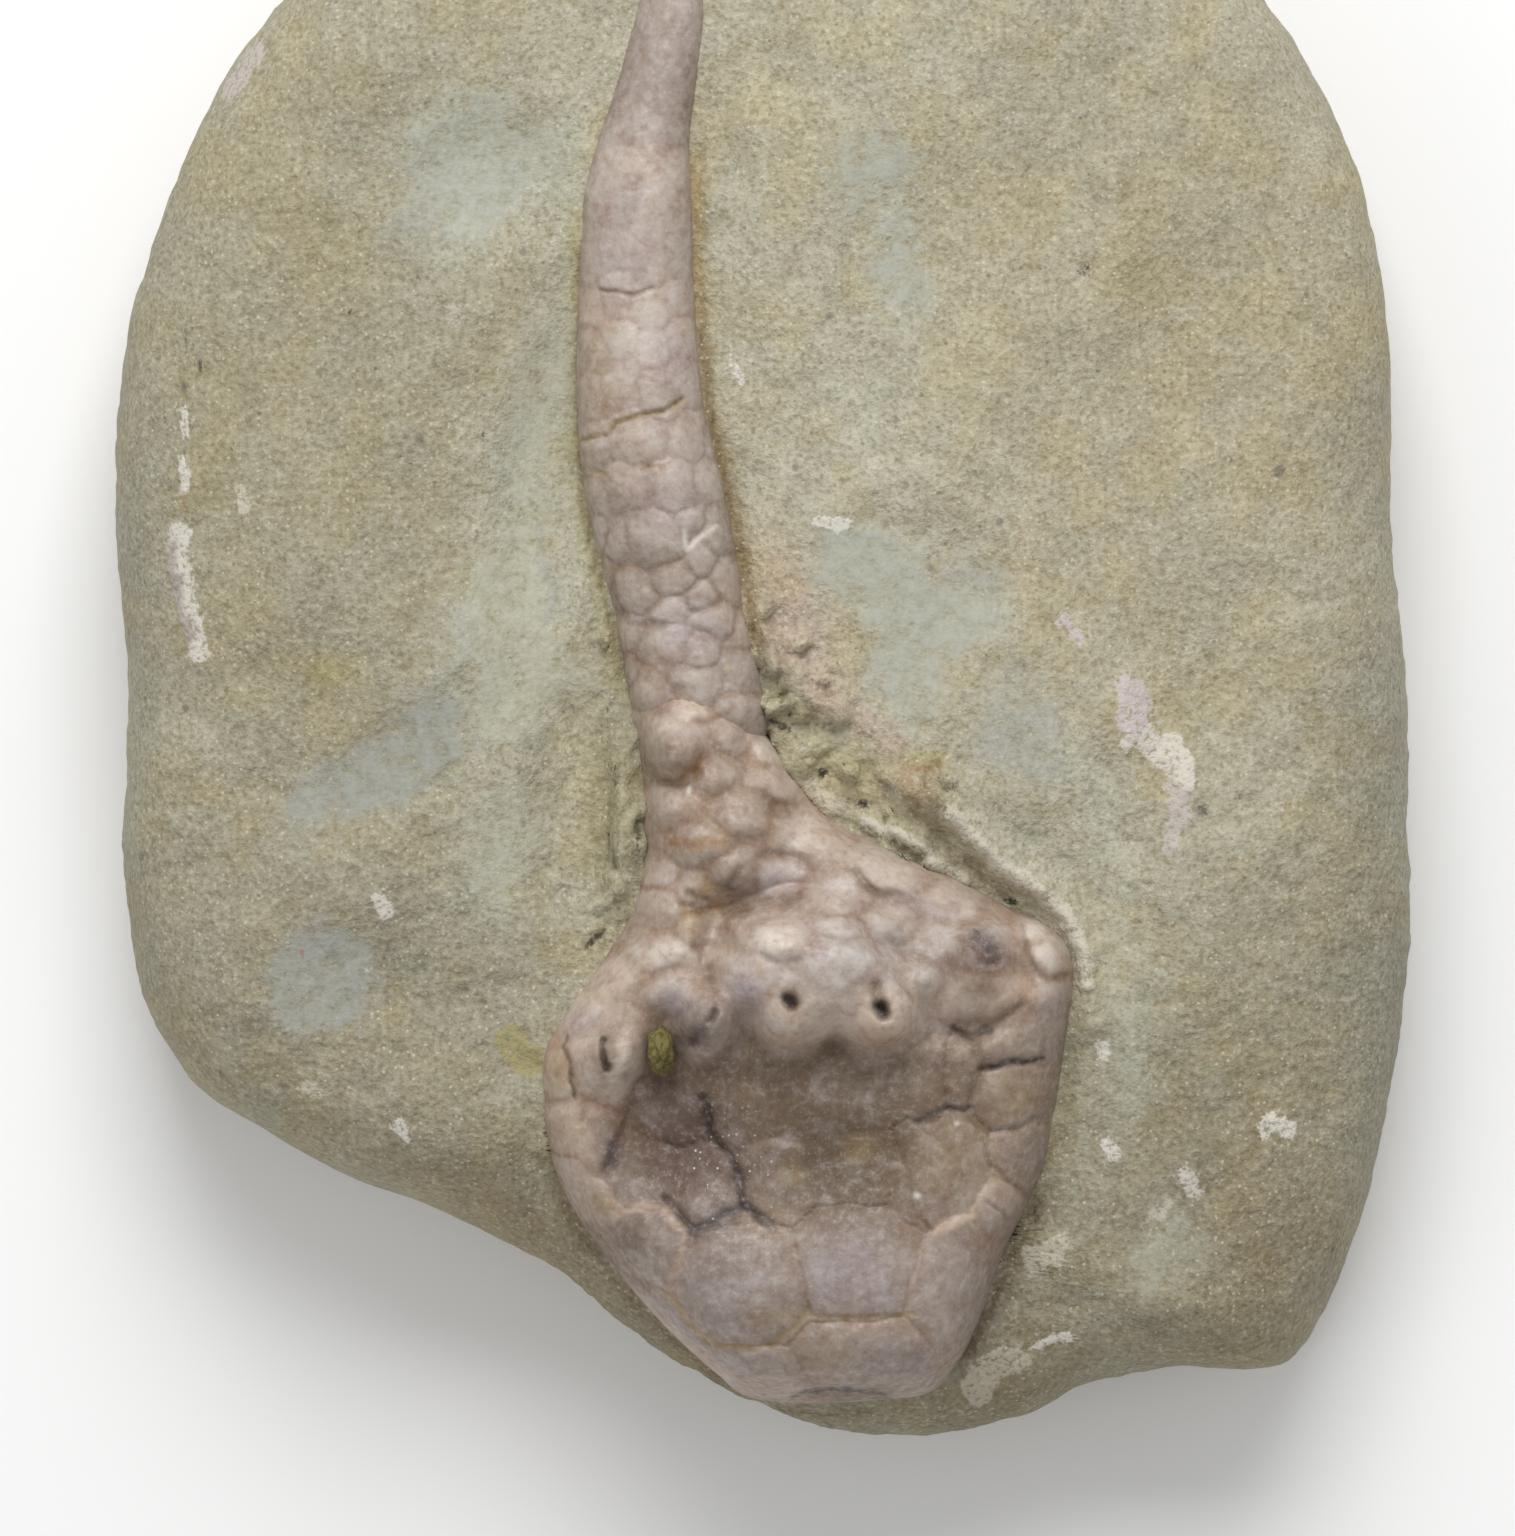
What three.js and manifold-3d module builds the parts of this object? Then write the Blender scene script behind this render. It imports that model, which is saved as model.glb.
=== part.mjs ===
// A crinoid fossil plate: the calyx and anal tube of a sea lily, half sunk in a rounded slab of siltstone.
// Millimetres, +Z up. The origin is the middle of the flat underside, +X points right and +Y towards the
// tip of the tube, so the slab lies face up.
import * as THREE from "three";
import { mergeVertices } from "three/addons/utils/BufferGeometryUtils.js";
import Module from "manifold-3d";

const wasm = await Module();
wasm.setup();

// Driving dimensions of the slab.
const SLAB = {
  pole: [2, -24],
  girthHeight: 6.5,
  faceHeight: 16.9,
  crown: 1.1,
  crownHalfWidth: 33,
  crownHalfLength: 42,
  edgeRounding: 0.25,
  footShare: 0.93,
  segments: 62,
  topRings: 20,
  sideRings: 4,
};

// The slab's outline seen from above, clockwise from the left of the top end. The seven points of the top
// end close it with a plain round.
const SLAB_OUTLINE = [
  [-25.2, 30.5], [-19.5, 36.3], [-12.5, 40], [-3.5, 41.9], [6.5, 41.9], [15.5, 39.3], [22.5, 34.9],
  [27.3, 28.9], [30.3, 23.3], [31.7, 17.5], [32.2, 9.7], [32.2, 4.8], [32.6, 0.9], [33.1, -7.9],
  [33.2, -13.6], [32.4, -23.1], [30.8, -30.5], [28.3, -36.6], [27, -38.2], [25.4, -38.7], [21.5, -38.5],
  [19.3, -38.8], [16.6, -39.5], [14.4, -40.7], [9, -42], [2.6, -41.6], [-0.4, -40.5], [-4.6, -38.2],
  [-10, -34.2], [-13.6, -32], [-17.3, -30.1], [-21.5, -28.6], [-25.4, -26.4], [-28.3, -24.6],
  [-30.3, -22.5], [-32.1, -18.5], [-32.6, -14], [-32.5, -3.8], [-33.1, 4.8], [-32.6, 12.9],
  [-30.8, 20.2], [-28.6, 25.5],
];

// Driving dimensions of the calyx. The rim is its widest level, just under the face of the slab.
const CALYX = {
  rimBelowFace: 1.3,
  bottomHeight: 4.6,
  flankPower: 4,
  endPower: 14,
  undersidePower: 2.2,
  segments: 38,
  upperShare: 0.7,
  rings: 36,
  ringCrowding: 0.35,
};

// The two sides of the calyx seen from above, as [-y, x] from its end under the tube to its base.
const CALYX_RIGHT = [
  [3.2, -3.8], [4.2, -1.6], [6.2, 0.2], [8.5, 1.9], [10.6, 3.9], [12, 7], [13.3, 9.7], [14.8, 12.4],
  [16.1, 14.8], [17.6, 15.7], [20.4, 15.5], [22.6, 15.2], [25.3, 14.8], [27.4, 14.4], [29.5, 13.6],
  [32, 12.3], [35.8, 10.9], [38.1, 9.7], [39.5, 8.2], [39.8, 5.4], [40, 2.2],
];
const CALYX_LEFT = [
  [3.2, -3.8], [3.7, -5.6], [5, -6.8], [6.5, -6.3], [9.9, -6.2], [12.8, -6.2], [15, -6.7], [17.4, -8],
  [19.7, -9.6], [21.6, -10.9], [23, -11.2], [25.9, -11], [28.6, -10.3], [30.8, -9.1], [32.6, -7.8],
  [34.4, -6.4], [36.6, -4.4], [38.7, -2.1], [39.8, -0.5], [40, 2.2],
];

// Height of the calyx along its length, as [-y, z] from the tube to the base.
const CALYX_CREST = [
  [1, 16.6], [8, 16.8], [12, 17.4], [15, 19], [18, 20.4], [22, 19.9], [25, 19.2], [28, 19.1],
  [31, 19.6], [34, 19.7], [37, 19.3], [40, 18],
];

// Rounded forms that stand out of the calyx: [x, y, centre z, half sizes in x, y and z, turn in degrees].
const FORMS = [
  [2.6, -17.9, 17.6, 5.9, 4.3, 5.4, -5],
  [1.3, -19.9, 18.6, 2.1, 2.1, 3.9, 0],
  [5.9, -19.9, 18.6, 2.2, 2.2, 3.9, 0],
  [3.6, -19.4, 17.9, 3.4, 2.5, 4.1, 0],
  [-2.6, -20, 17.4, 2, 2.3, 4.4, 20],
  [-7.9, -22.1, 16.2, 2.5, 2.5, 4.7, 0],
  [-8.3, -19.6, 15.6, 2.4, 2.4, 4.6, 30],
  [8.2, -18.2, 17, 1.8, 2, 3.8, 0],
  [10.9, -17.6, 16.8, 2.5, 2.6, 4.7, 0],
  [14.2, -17.1, 15.3, 1.4, 1.7, 4, 0],
  [-4.6, -16, 15.8, 3, 3.8, 4.7, 0],
  [-2.2, -12, 14.6, 5, 6.5, 5.4, 0],
  [-3.4, -5.5, 15, 3.4, 7, 4.3, 0],
  [-4.4, -6.9, 16.9, 1.9, 1.9, 3.5, 0],
  [5, -14.4, 14.6, 6.6, 3.6, 5.2, -26],
  [-9.3, -27, 14, 2, 4, 5.6, 12],
  [-8.5, -30.5, 13.6, 1.3, 2.4, 5, 28],
  [12.7, -23.8, 13.6, 2.7, 4.4, 5.3, 4],
  [12.3, -28.4, 13.6, 2, 2.4, 5.2, 0],
];

// How sharply the forms meet: the larger it is, the tighter the hollow between two of them.
const FORM_BLEND = 3.2;

// Hollows pressed into the calyx: [x, y, half sizes in x and y, depth, turn in degrees].
const DENTS = [
  [-4.4, -27, 3.1, 3.6, 1.8, 16],
  [-0.6, -28.6, 2.4, 2.4, 0.7, 0],
  [2.6, -23.3, 5, 1.1, 0.7, 0],
  [4.4, -27.3, 1.9, 1.4, 0.5, 0],
  [0.4, -14.7, 2.6, 0.8, 0.8, -8],
  [-4.9, -22.9, 1, 2, 1.6, 0],
  [-4.6, -20, 0.8, 1.2, 0.8, 0],
  [10.6, -20.9, 1.9, 0.7, 0.8, 8],
  [-2.4, -16.6, 1.1, 1.2, 0.9, 0],
  [6.2, -16.6, 1.7, 0.6, 0.6, -40],
  [13.1, -18.3, 0.7, 1, 0.6, 30],
];

// Larger plates of the calyx: [x, y, half sizes in x and y, rise, turn in degrees].
const PLATES = [
  [-5.6, -31.8, 2, 2, 0.25, 0], [-1.2, -33.7, 3.1, 3, 0.3, 0], [4.7, -32.6, 2.9, 2.8, 0.3, 0],
  [9.6, -33.6, 2, 3.3, 0.3, -12], [5.3, -37.4, 3.4, 1.9, 0.35, 0], [-0.3, -38.3, 2.8, 1.7, 0.35, -14],
  [-4.6, -35.6, 2.3, 0.8, 0.3, -44], [-7.3, -33, 1.7, 0.7, 0.3, -52], [-5.6, -28.2, 2.1, 2, 0.25, 0],
  [-2.5, -28.7, 2, 2, 0.3, 0], [-4.5, -25.1, 1.8, 1.8, 0.25, 0], [-1.1, -25.3, 2.1, 1.8, 0.25, 0],
  [3.5, -24.4, 3.6, 1.8, 0.1, 0], [0.8, -28.2, 1.9, 2, 0.1, 0], [4.5, -27.7, 2.3, 1.8, 0.1, 0],
  [8.9, -27.9, 2.5, 2.6, 0.35, 0], [12.7, -24.2, 2.1, 1.7, 0.45, 0], [12.9, -21.6, 2.1, 1.2, 0.4, 6],
  [12.9, -27.3, 1.6, 1.7, 0.4, -30], [11.8, -29.9, 1.4, 1.5, 0.4, 0], [10, -23.3, 0.8, 1.6, 0.25, -12],
  [8.2, -24, 1, 1.7, 0.2, 0], [-10, -25.8, 1.1, 1.5, 0.3, 0], [-9.8, -28.4, 1.2, 1.6, 0.3, 18],
  [-8.2, -26.6, 1.1, 1.8, 0.3, 14], [-8.2, -29.7, 1, 1.5, 0.3, 26], [-10.3, -23.4, 0.8, 1.3, 0.3, 0],
  [-7.8, -22.3, 2, 2, 0.3, 0], [-9.3, -20, 1.3, 1.1, 0.35, 30], [-7.5, -18.3, 1.5, 1, 0.35, 30],
  [-2.8, -20.9, 1.4, 1.5, 0.3, 0], [1.4, -19.8, 1.9, 1.6, 0.3, 0], [5.9, -19.7, 1.9, 1.8, 0.3, 0],
  [3.8, -17.6, 1.9, 1.4, 0.3, 0], [-0.5, -18.5, 1.3, 1.2, 0.3, 0], [10.9, -16.9, 1.5, 1.5, 0.3, 0],
  [11, -19, 1.8, 1.1, 0.35, 0], [14.4, -19.7, 0.9, 1.3, 0.3, 0], [-5.1, -17.1, 2, 0.8, 0.45, 6],
  [-4.4, -7, 1.7, 1.7, 0.3, 0], [1.9, -11.2, 1.6, 1.2, 0.35, -20], [6.3, -13.3, 1.8, 1, 0.3, -20],
  [9.4, -14.7, 1.6, 1, 0.3, -20],
];
const SUTURE = { depth: 0.12, width: 0.25 };

// Openings where the arms were attached: [x, y, radius, depth].
const ARM_OPENINGS = [
  [-7.8, -22, 0.55, 1.6],
  [-2.7, -20.7, 0.6, 1],
  [1.45, -19.6, 0.55, 1.5],
  [5.95, -19.7, 0.55, 1.6],
  [11, -16.9, 0.75, 0.9],
];
const OPENING_SIDES = 8;

// The tube from its foot to its tip: [y, centre x, half width], and how far its axis lies under the face.
const TUBE_PATH = [
  [-8, -2.4, 3.7], [-5.5, -2.95, 3.5], [-3, -3.5, 3.4], [0, -4.1, 3.35], [5, -5.2, 3.5], [10, -6.05, 3.2],
  [15.5, -6.3, 2.9], [20.5, -6.25, 2.7], [23.3, -6, 2.3], [25.5, -5.5, 2.05], [28, -4.95, 1.85],
  [30.5, -4.5, 1.65], [37, -3.9, 1.2],
];
const TUBE = {
  footY: -8,
  tipY: 36.2,
  axisBelowFace: 1,
  capShare: 0.035,
  segments: 24,
  rings: 42,
};

// The plates on the lower part of the tube, in the same form as the plates of the calyx.
const LOW_TUBE_PLATES = [
  [-5.6, -3.9, 1.1, 0.9, 0.3, 0], [-3.4, -3.6, 1.3, 1, 0.35, 0], [-1.1, -3.1, 1, 1.2, 0.3, 0],
  [-1.2, -4.9, 0.9, 0.8, 0.3, 0], [-6.5, -2.9, 0.6, 0.9, 0.25, 0], [-3, -2.2, 0.9, 0.7, 0.3, 0],
  [-4.9, -1.8, 1.2, 1.1, 0.35, 0], [-6.6, -1.2, 0.8, 1, 0.3, 0], [-2.4, -0.6, 1, 0.9, 0.35, 0],
  [-4.6, -0.1, 0.9, 0.8, 0.3, 0], [-1.2, -1, 0.6, 1, 0.25, 0], [-6.3, 0.9, 1, 1, 0.35, 0],
  [-4.4, 1.5, 1, 0.9, 0.3, 0], [-3.1, 0.6, 0.8, 0.8, 0.3, 0], [-1.9, 1.5, 0.8, 1.1, 0.3, 0],
  [-7.5, 1.3, 0.5, 1.2, 0.25, 0], [-5.3, 3.6, 1.3, 1.3, 0.35, 0], [-3.2, 2.4, 0.9, 0.9, 0.3, 0],
  [-2.3, 3.7, 0.8, 1.1, 0.3, 0], [-7, 3.3, 0.7, 1.1, 0.3, 0], [-3.7, 4.5, 0.7, 0.6, 0.25, 0],
  [-8.1, 3.5, 0.5, 1, 0.25, 0], [-4.4, 6.3, 1.2, 1.3, 0.35, 0], [-2.7, 6.4, 0.8, 1.1, 0.3, 0],
  [-6.6, 6.1, 1.1, 1, 0.3, 0], [-8.1, 5.8, 0.7, 1, 0.3, 0], [-6.1, 8.3, 1.3, 1.2, 0.35, 0],
  [-3.8, 8.5, 1.1, 1.3, 0.35, 0], [-8.2, 7.9, 0.9, 0.9, 0.3, 0], [-2.6, 8.4, 0.5, 1, 0.25, 0],
];

// Above them the plates stand in rows of four, each a little longer than wide.
const TUBE_ROWS = {
  firstY: 10.8,
  spacing: 2.15,
  count: 13,
  across: [-0.74, -0.26, 0.22, 0.7],
  halfWidth: 0.3,
  halfLength: 1.1,
  stagger: 0.55,
  rise: 0.14,
};
const CUT = { y: -4.5, gap: 0.3, size: 60 };

// The lump of sediment between the left and the second arm base.
const PLUG = { centre: [-5.05, -22.05, 19.3], radii: [0.8, 1.45, 1.5], turn: 4, segments: 12, rings: 8 };

// Scraped hollows in the face of the slab: [x, y, half sizes in x and y, depth, turn in degrees].
const SCRAPES = [
  [-13.5, 21.5, 3.6, 3, 0.5, 0],
  [-17.5, -7.3, 7.5, 2.4, 0.6, 34],
  [-11, 6, 2.4, 10, 0.7, -8],
  [-21, -18.7, 3.4, 3, 0.5, 0],
  [6, 19.5, 2, 5.5, 0.5, 12],
  [6.5, 0.5, 4.6, 5, 0.7, -35],
  [12.5, -5.5, 3, 3.2, 0.4, 0],
  [-9.4, -10, 2.2, 7, 0.7, 4],
  [19.5, -32, 4, 2.6, 0.4, 30],
  [22, 16, 9, 14, 0.5, 0],
];

// The crest of the rim that the stone forms beside the right shoulder of the calyx.
const RIM_CREST = [[7.6, -8.8], [9.6, -10.3], [12, -12.5], [14.4, -14.4], [16, -17], [16.5, -20.5]];
const RIM = { height: 0.9, width: 1.1 };
const TROUGH = { depth: 1, reach: 4.5 };

// Low waves of the slab's face: a broad one that bends as it runs across, and a smaller slanting one. The
// lengths are in mm for each radian of the wave.
const SWELL = { height: 0.35, lengthX: 4.1, lengthY: 5.2, start: 0.4, bend: 1.3, bendLength: 7.3 };
const RIPPLE = { height: 0.22, lengthX: 2.3, lengthY: 3.1 };

// The socket stands off the fossil by this gap, and is open above it.
const SOCKET_GAP = 0.34;
const SOCKET_HEADROOM = 3;
const RING_CROWDING = 1.5;

const { degToRad, clamp, lerp } = THREE.MathUtils;

/** Smooth value at `at` of a table of [place, value] rows sorted by rising place. */
function along(table, at, column = 1) {
  const last = table.length - 1;
  const place = clamp(at, table[0][0], table[last][0]);
  let row = 0;
  while (row < last - 1 && table[row + 1][0] < place) row += 1;
  const slope = (i) => {
    const before = table[Math.max(i - 1, 0)];
    const after = table[Math.min(i + 1, last)];
    return (after[column] - before[column]) / (after[0] - before[0]);
  };
  const [from, to] = [table[row], table[row + 1]];
  const span = to[0] - from[0];
  const t = (place - from[0]) / span;
  const bend = t * (1 - t) * span;
  return lerp(from[column], to[column], t * t * (3 - 2 * t))
    + bend * ((1 - t) * slope(row) - t * slope(row + 1));
}

/** Distance from a pole to an outline as a smooth periodic function of the angle. */
function radiusAround(outline, [px, py]) {
  const rows = outline.map(([x, y]) => [Math.atan2(y - py, x - px), Math.hypot(x - px, y - py)]);
  rows.sort((a, b) => a[0] - b[0]);
  const turn = 2 * Math.PI;
  const wrapped = [
    ...rows.slice(-2).map(([angle, r]) => [angle - turn, r]),
    ...rows,
    ...rows.slice(0, 2).map(([angle, r]) => [angle + turn, r]),
  ];
  return (angle) => along(wrapped, angle);
}

/** Distance of a point from the middle of a turned ellipse, 1 on its edge. */
function ellipseReach(x, y, [cx, cy], [rx, ry], turn) {
  const angle = degToRad(turn);
  const [dx, dy] = [x - cx, y - cy];
  const u = dx * Math.cos(angle) + dy * Math.sin(angle);
  const v = dy * Math.cos(angle) - dx * Math.sin(angle);
  return Math.hypot(u / rx, v / ry);
}

/** Distance of a point from a bent line. */
function pathDistance(x, y, path) {
  const point = new THREE.Vector3(x, y, 0);
  const near = new THREE.Vector3();
  let best = Infinity;
  for (let i = 0; i + 1 < path.length; i += 1) {
    const line = new THREE.Line3(new THREE.Vector3(...path[i], 0), new THREE.Vector3(...path[i + 1], 0));
    line.closestPointToPoint(point, true, near);
    best = Math.min(best, near.distanceTo(point));
  }
  return best;
}

const slabRadius = radiusAround(SLAB_OUTLINE, SLAB.pole);
const calyxOutline = [...CALYX_RIGHT, ...CALYX_LEFT.toReversed()].map(([south, x]) => [x, -south]);

/** How far a point lies outside the fossil seen from above, 0 inside it. */
function fossilDistance(x, y) {
  const [first, last] = [CALYX_RIGHT[0][0], CALYX_RIGHT.at(-1)[0]];
  const level = -y > first && -y < last;
  const within = level && x > along(CALYX_LEFT, -y) && x < along(CALYX_RIGHT, -y);
  const calyx = within ? 0 : pathDistance(x, y, calyxOutline);
  const beside = Math.max(0, Math.abs(x - along(TUBE_PATH, y)) - along(TUBE_PATH, y, 2));
  const beyond = Math.max(0, y - TUBE.tipY, TUBE.footY - y);
  return Math.min(calyx, Math.hypot(beside, beyond));
}

/** Height of the slab's face: a low crown, lower beside the fossil, with scrapes, swells and the rim. */
function faceHeight(x, y) {
  const crown = SLAB.crown * ((x / SLAB.crownHalfWidth) ** 2 + (y / SLAB.crownHalfLength) ** 2);
  const across = Math.sin(x / SWELL.lengthX + SWELL.bend * Math.sin(y / SWELL.bendLength));
  const swell = SWELL.height * across * Math.cos(y / SWELL.lengthY + SWELL.start);
  const ripple = RIPPLE.height * Math.sin(x / RIPPLE.lengthX - y / RIPPLE.lengthY);
  const trough = TROUGH.depth * Math.exp(-((fossilDistance(x, y) / TROUGH.reach) ** 2));
  const rim = RIM.height * Math.exp(-((pathDistance(x, y, RIM_CREST) / RIM.width) ** 2));
  let scraped = 0;
  for (const [cx, cy, rx, ry, depth, turn] of SCRAPES) {
    scraped += depth * Math.exp(-(ellipseReach(x, y, [cx, cy], [rx, ry], turn) ** 4));
  }
  return SLAB.faceHeight - crown + swell + ripple - trough + rim - scraped;
}

/** Height of the slab's upper side, whose edge rounds down to the girth over the same width all round. */
function slabTop(angle, share) {
  const radius = slabRadius(angle);
  const x = SLAB.pole[0] + share * radius * Math.cos(angle);
  const y = SLAB.pole[1] + share * radius * Math.sin(angle);
  const rounding = Math.sqrt(Math.max(0, 1 - share ** (SLAB.edgeRounding * radius)));
  return new THREE.Vector3(x, y, lerp(SLAB.girthHeight, faceHeight(x, y), rounding));
}

/** Height of the slab's upper side over a point seen from above. */
function slabHeight(x, y) {
  const [dx, dy] = [x - SLAB.pole[0], y - SLAB.pole[1]];
  const angle = Math.atan2(dy, dx);
  return slabTop(angle, Math.min(Math.hypot(dx, dy) / slabRadius(angle), 1)).z;
}

/** The plates of the whole tube. */
function tubePlates() {
  const plates = [...LOW_TUBE_PLATES];
  for (let row = 0; row < TUBE_ROWS.count; row += 1) {
    TUBE_ROWS.across.forEach((side, column) => {
      const y = TUBE_ROWS.firstY + TUBE_ROWS.spacing * row + TUBE_ROWS.stagger * (column % 2);
      const width = along(TUBE_PATH, y, 2);
      const x = along(TUBE_PATH, y) + side * width;
      plates.push([x, y, TUBE_ROWS.halfWidth * width, TUBE_ROWS.halfLength, TUBE_ROWS.rise, 0]);
    });
  }
  return plates;
}

/** Rise of the plates over a point: each one is a low dome, with a soft groove where two of them meet. */
function plateRelief(x, y, plates) {
  let [first, second, rise] = [Infinity, Infinity, 0];
  for (const [cx, cy, rx, ry, height, turn] of plates) {
    const reach = ellipseReach(x, y, [cx, cy], [rx, ry], turn);
    if (reach < first) {
      second = first;
      first = reach;
      rise = height;
    } else if (reach < second) {
      second = reach;
    }
  }
  const dome = rise * (1 - Math.min(first, 1.2) ** 2);
  return dome - SUTURE.depth * Math.exp(-(((second - first) / SUTURE.width) ** 2));
}

/** Height of the calyx before its flanks round down to the rim. */
function crestHeight(x, y) {
  let sum = Math.exp(FORM_BLEND * (along(CALYX_CREST, -y) - SLAB.faceHeight));
  for (const [cx, cy, cz, rx, ry, rz, turn] of FORMS) {
    const reach = ellipseReach(x, y, [cx, cy], [rx, ry], turn);
    const height = cz + (reach < 1 ? rz * Math.sqrt(1 - reach * reach) : -rz * (reach - 1));
    sum += Math.exp(FORM_BLEND * (height - SLAB.faceHeight));
  }
  let height = SLAB.faceHeight + Math.log(sum) / FORM_BLEND;
  for (const [cx, cy, rx, ry, depth, turn] of DENTS) {
    height -= depth * Math.exp(-(ellipseReach(x, y, [cx, cy], [rx, ry], turn) ** 2));
  }
  return height + plateRelief(x, y, PLATES);
}

/** A closed body from a unit sphere: every point is moved to `place(angle, level)`, level 1 at the top. */
function sphereBody(segments, rings, place) {
  const sphere = new THREE.SphereGeometry(1, segments, rings);
  sphere.rotateX(Math.PI / 2);
  const points = sphere.getAttribute("position");
  for (let i = 0; i < points.count; i += 1) {
    const level = 1 - Math.acos(clamp(points.getZ(i), -1, 1)) / (Math.PI / 2);
    const moved = place(Math.atan2(points.getY(i), points.getX(i)), level);
    points.setXYZ(i, moved.x, moved.y, moved.z);
  }
  return welded(sphere);
}

/** The same geometry with shared vertices merged and only its positions kept. */
function welded(geometry) {
  const bare = geometry.clone();
  bare.deleteAttribute("normal");
  bare.deleteAttribute("uv");
  return mergeVertices(bare, 1e-3);
}

/** The solid bounded by a closed geometry. */
function solidOf(geometry) {
  return new wasm.Manifold(new wasm.Mesh({
    numProp: 3,
    vertProperties: geometry.getAttribute("position").array,
    triVerts: new Uint32Array(geometry.getIndex().array),
  }));
}

/** The geometry of a solid. */
function geometryOf(solid) {
  const mesh = solid.getMesh();
  const geometry = new THREE.BufferGeometry();
  geometry.setAttribute("position", new THREE.BufferAttribute(new Float32Array(mesh.vertProperties), 3));
  geometry.setIndex(new THREE.BufferAttribute(new Uint32Array(mesh.triVerts), 1));
  geometry.computeVertexNormals();
  return geometry;
}

/** Spreads rings over a side so that they crowd at the rim: 0 at the pole, 1 at the rim. */
function crowded(level) {
  return 1 - level ** RING_CROWDING;
}

/** The slab without its socket. */
function slabBody() {
  const rings = SLAB.topRings + SLAB.sideRings;
  const rimLevel = 1 - (2 * SLAB.topRings) / rings;
  return sphereBody(SLAB.segments, rings, (angle, level) => {
    if (level >= rimLevel) {
      return slabTop(angle, crowded((level - rimLevel) / (1 - rimLevel)));
    }
    const down = Math.min(1, ((rimLevel - level) * rings) / (2 * (SLAB.sideRings - 1)));
    const bend = (down * Math.PI) / 2;
    const atPole = level < -1 + 1 / rings;
    const share = atPole ? 0 : lerp(1, SLAB.footShare, 1 - Math.cos(bend));
    const point = slabTop(angle, share);
    return point.setZ(SLAB.girthHeight * (1 - Math.sin(bend)));
  });
}

/** The angle of a point round Y, spread so that `share` of a full turn's points lie above. */
function aroundLength(x, z, share) {
  const turned = (Math.atan2(z, x) + 2 * Math.PI) % (2 * Math.PI);
  const part = turned / (2 * Math.PI);
  return part < share ? (part / share) * Math.PI : Math.PI * (1 + (part - share) / (1 - share));
}

/**
 * The calyx, or the room for it where `spread`, `headroom` and `drop` make it larger: a unit sphere drawn
 * out along Y, whose rings reach from the left side to the right one.
 */
function calyxBody(spread = 0, headroom = 0, drop = 0) {
  const sphere = new THREE.SphereGeometry(1, CALYX.segments, CALYX.rings);
  const points = sphere.getAttribute("position");
  const [first, last] = [CALYX_RIGHT[0][0], CALYX_RIGHT.at(-1)[0]];
  for (let i = 0; i < points.count; i += 1) {
    const even = Math.acos(clamp(points.getY(i), -1, 1)) / Math.PI;
    const share = lerp(even, (1 - Math.cos(Math.PI * even)) / 2, CALYX.ringCrowding);
    const lengthwise = 2 * share - 1;
    const turned = aroundLength(points.getX(i), points.getZ(i), CALYX.upperShare);
    const across = Math.abs(lengthwise) === 1 ? 0 : Math.cos(turned);
    const onTop = Math.sin(turned) >= 0;
    const south = lerp(first, last, share);
    const [left, right] = [along(CALYX_LEFT, south), along(CALYX_RIGHT, south)];
    const half = (right - left) / 2 + spread;
    const x = (left + right) / 2 + across * half;
    const y = -south - spread * lengthwise;
    const rim = lerp(slabHeight(left, -south), slabHeight(right, -south), (1 + across) / 2)
      - CALYX.rimBelowFace;
    const fall = (at, power) => Math.sqrt(Math.max(0, 1 - Math.abs(at) ** power));
    const rounding = onTop
      ? fall(across, CALYX.flankPower) * fall(lengthwise, CALYX.endPower)
      : fall(across, CALYX.undersidePower) * fall(lengthwise, CALYX.undersidePower);
    const target = onTop ? crestHeight(x, y) + headroom : CALYX.bottomHeight;
    points.setXYZ(i, x, y, lerp(rim, target, rounding) - (onTop ? 0 : drop));
  }
  return welded(sphere);
}

/** The tube, or the room for it: a unit sphere drawn out along Y, with plates on its back. */
function tubeBody(spread = 0, headroom = 0) {
  const plates = tubePlates();
  const sphere = new THREE.SphereGeometry(1, TUBE.segments, TUBE.rings);
  const points = sphere.getAttribute("position");
  for (let i = 0; i < points.count; i += 1) {
    const share = Math.acos(clamp(points.getY(i), -1, 1)) / Math.PI;
    const y = lerp(TUBE.tipY + spread, TUBE.footY, share);
    const toEnd = Math.min(share, 1 - share) / TUBE.capShare;
    const cap = Math.sqrt(1 - (1 - Math.min(toEnd, 1)) ** 2);
    const centre = along(TUBE_PATH, y);
    const radius = along(TUBE_PATH, y, 2);
    const angle = Math.atan2(points.getZ(i), points.getX(i));
    const up = Math.sin(angle);
    const dome = plateRelief(centre + radius * Math.cos(angle), y, plates);
    const grown = spread > 0 ? radius + spread : radius + Math.max(up, 0) * dome;
    const axis = slabHeight(centre, y) - TUBE.axisBelowFace;
    const height = axis + cap * up * (up > 0 ? grown + headroom : grown);
    points.setXYZ(i, centre + cap * grown * Math.cos(angle), y, height);
  }
  return welded(sphere);
}

/** A large box that covers everything on one side of the suture between calyx and tube. */
function halfSpace(side) {
  const box = new THREE.BoxGeometry(CUT.size, CUT.size, CUT.size);
  box.translate(0, CUT.y + side * (CUT.size / 2 - CUT.gap / 2), 0);
  return solidOf(welded(box));
}

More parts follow.
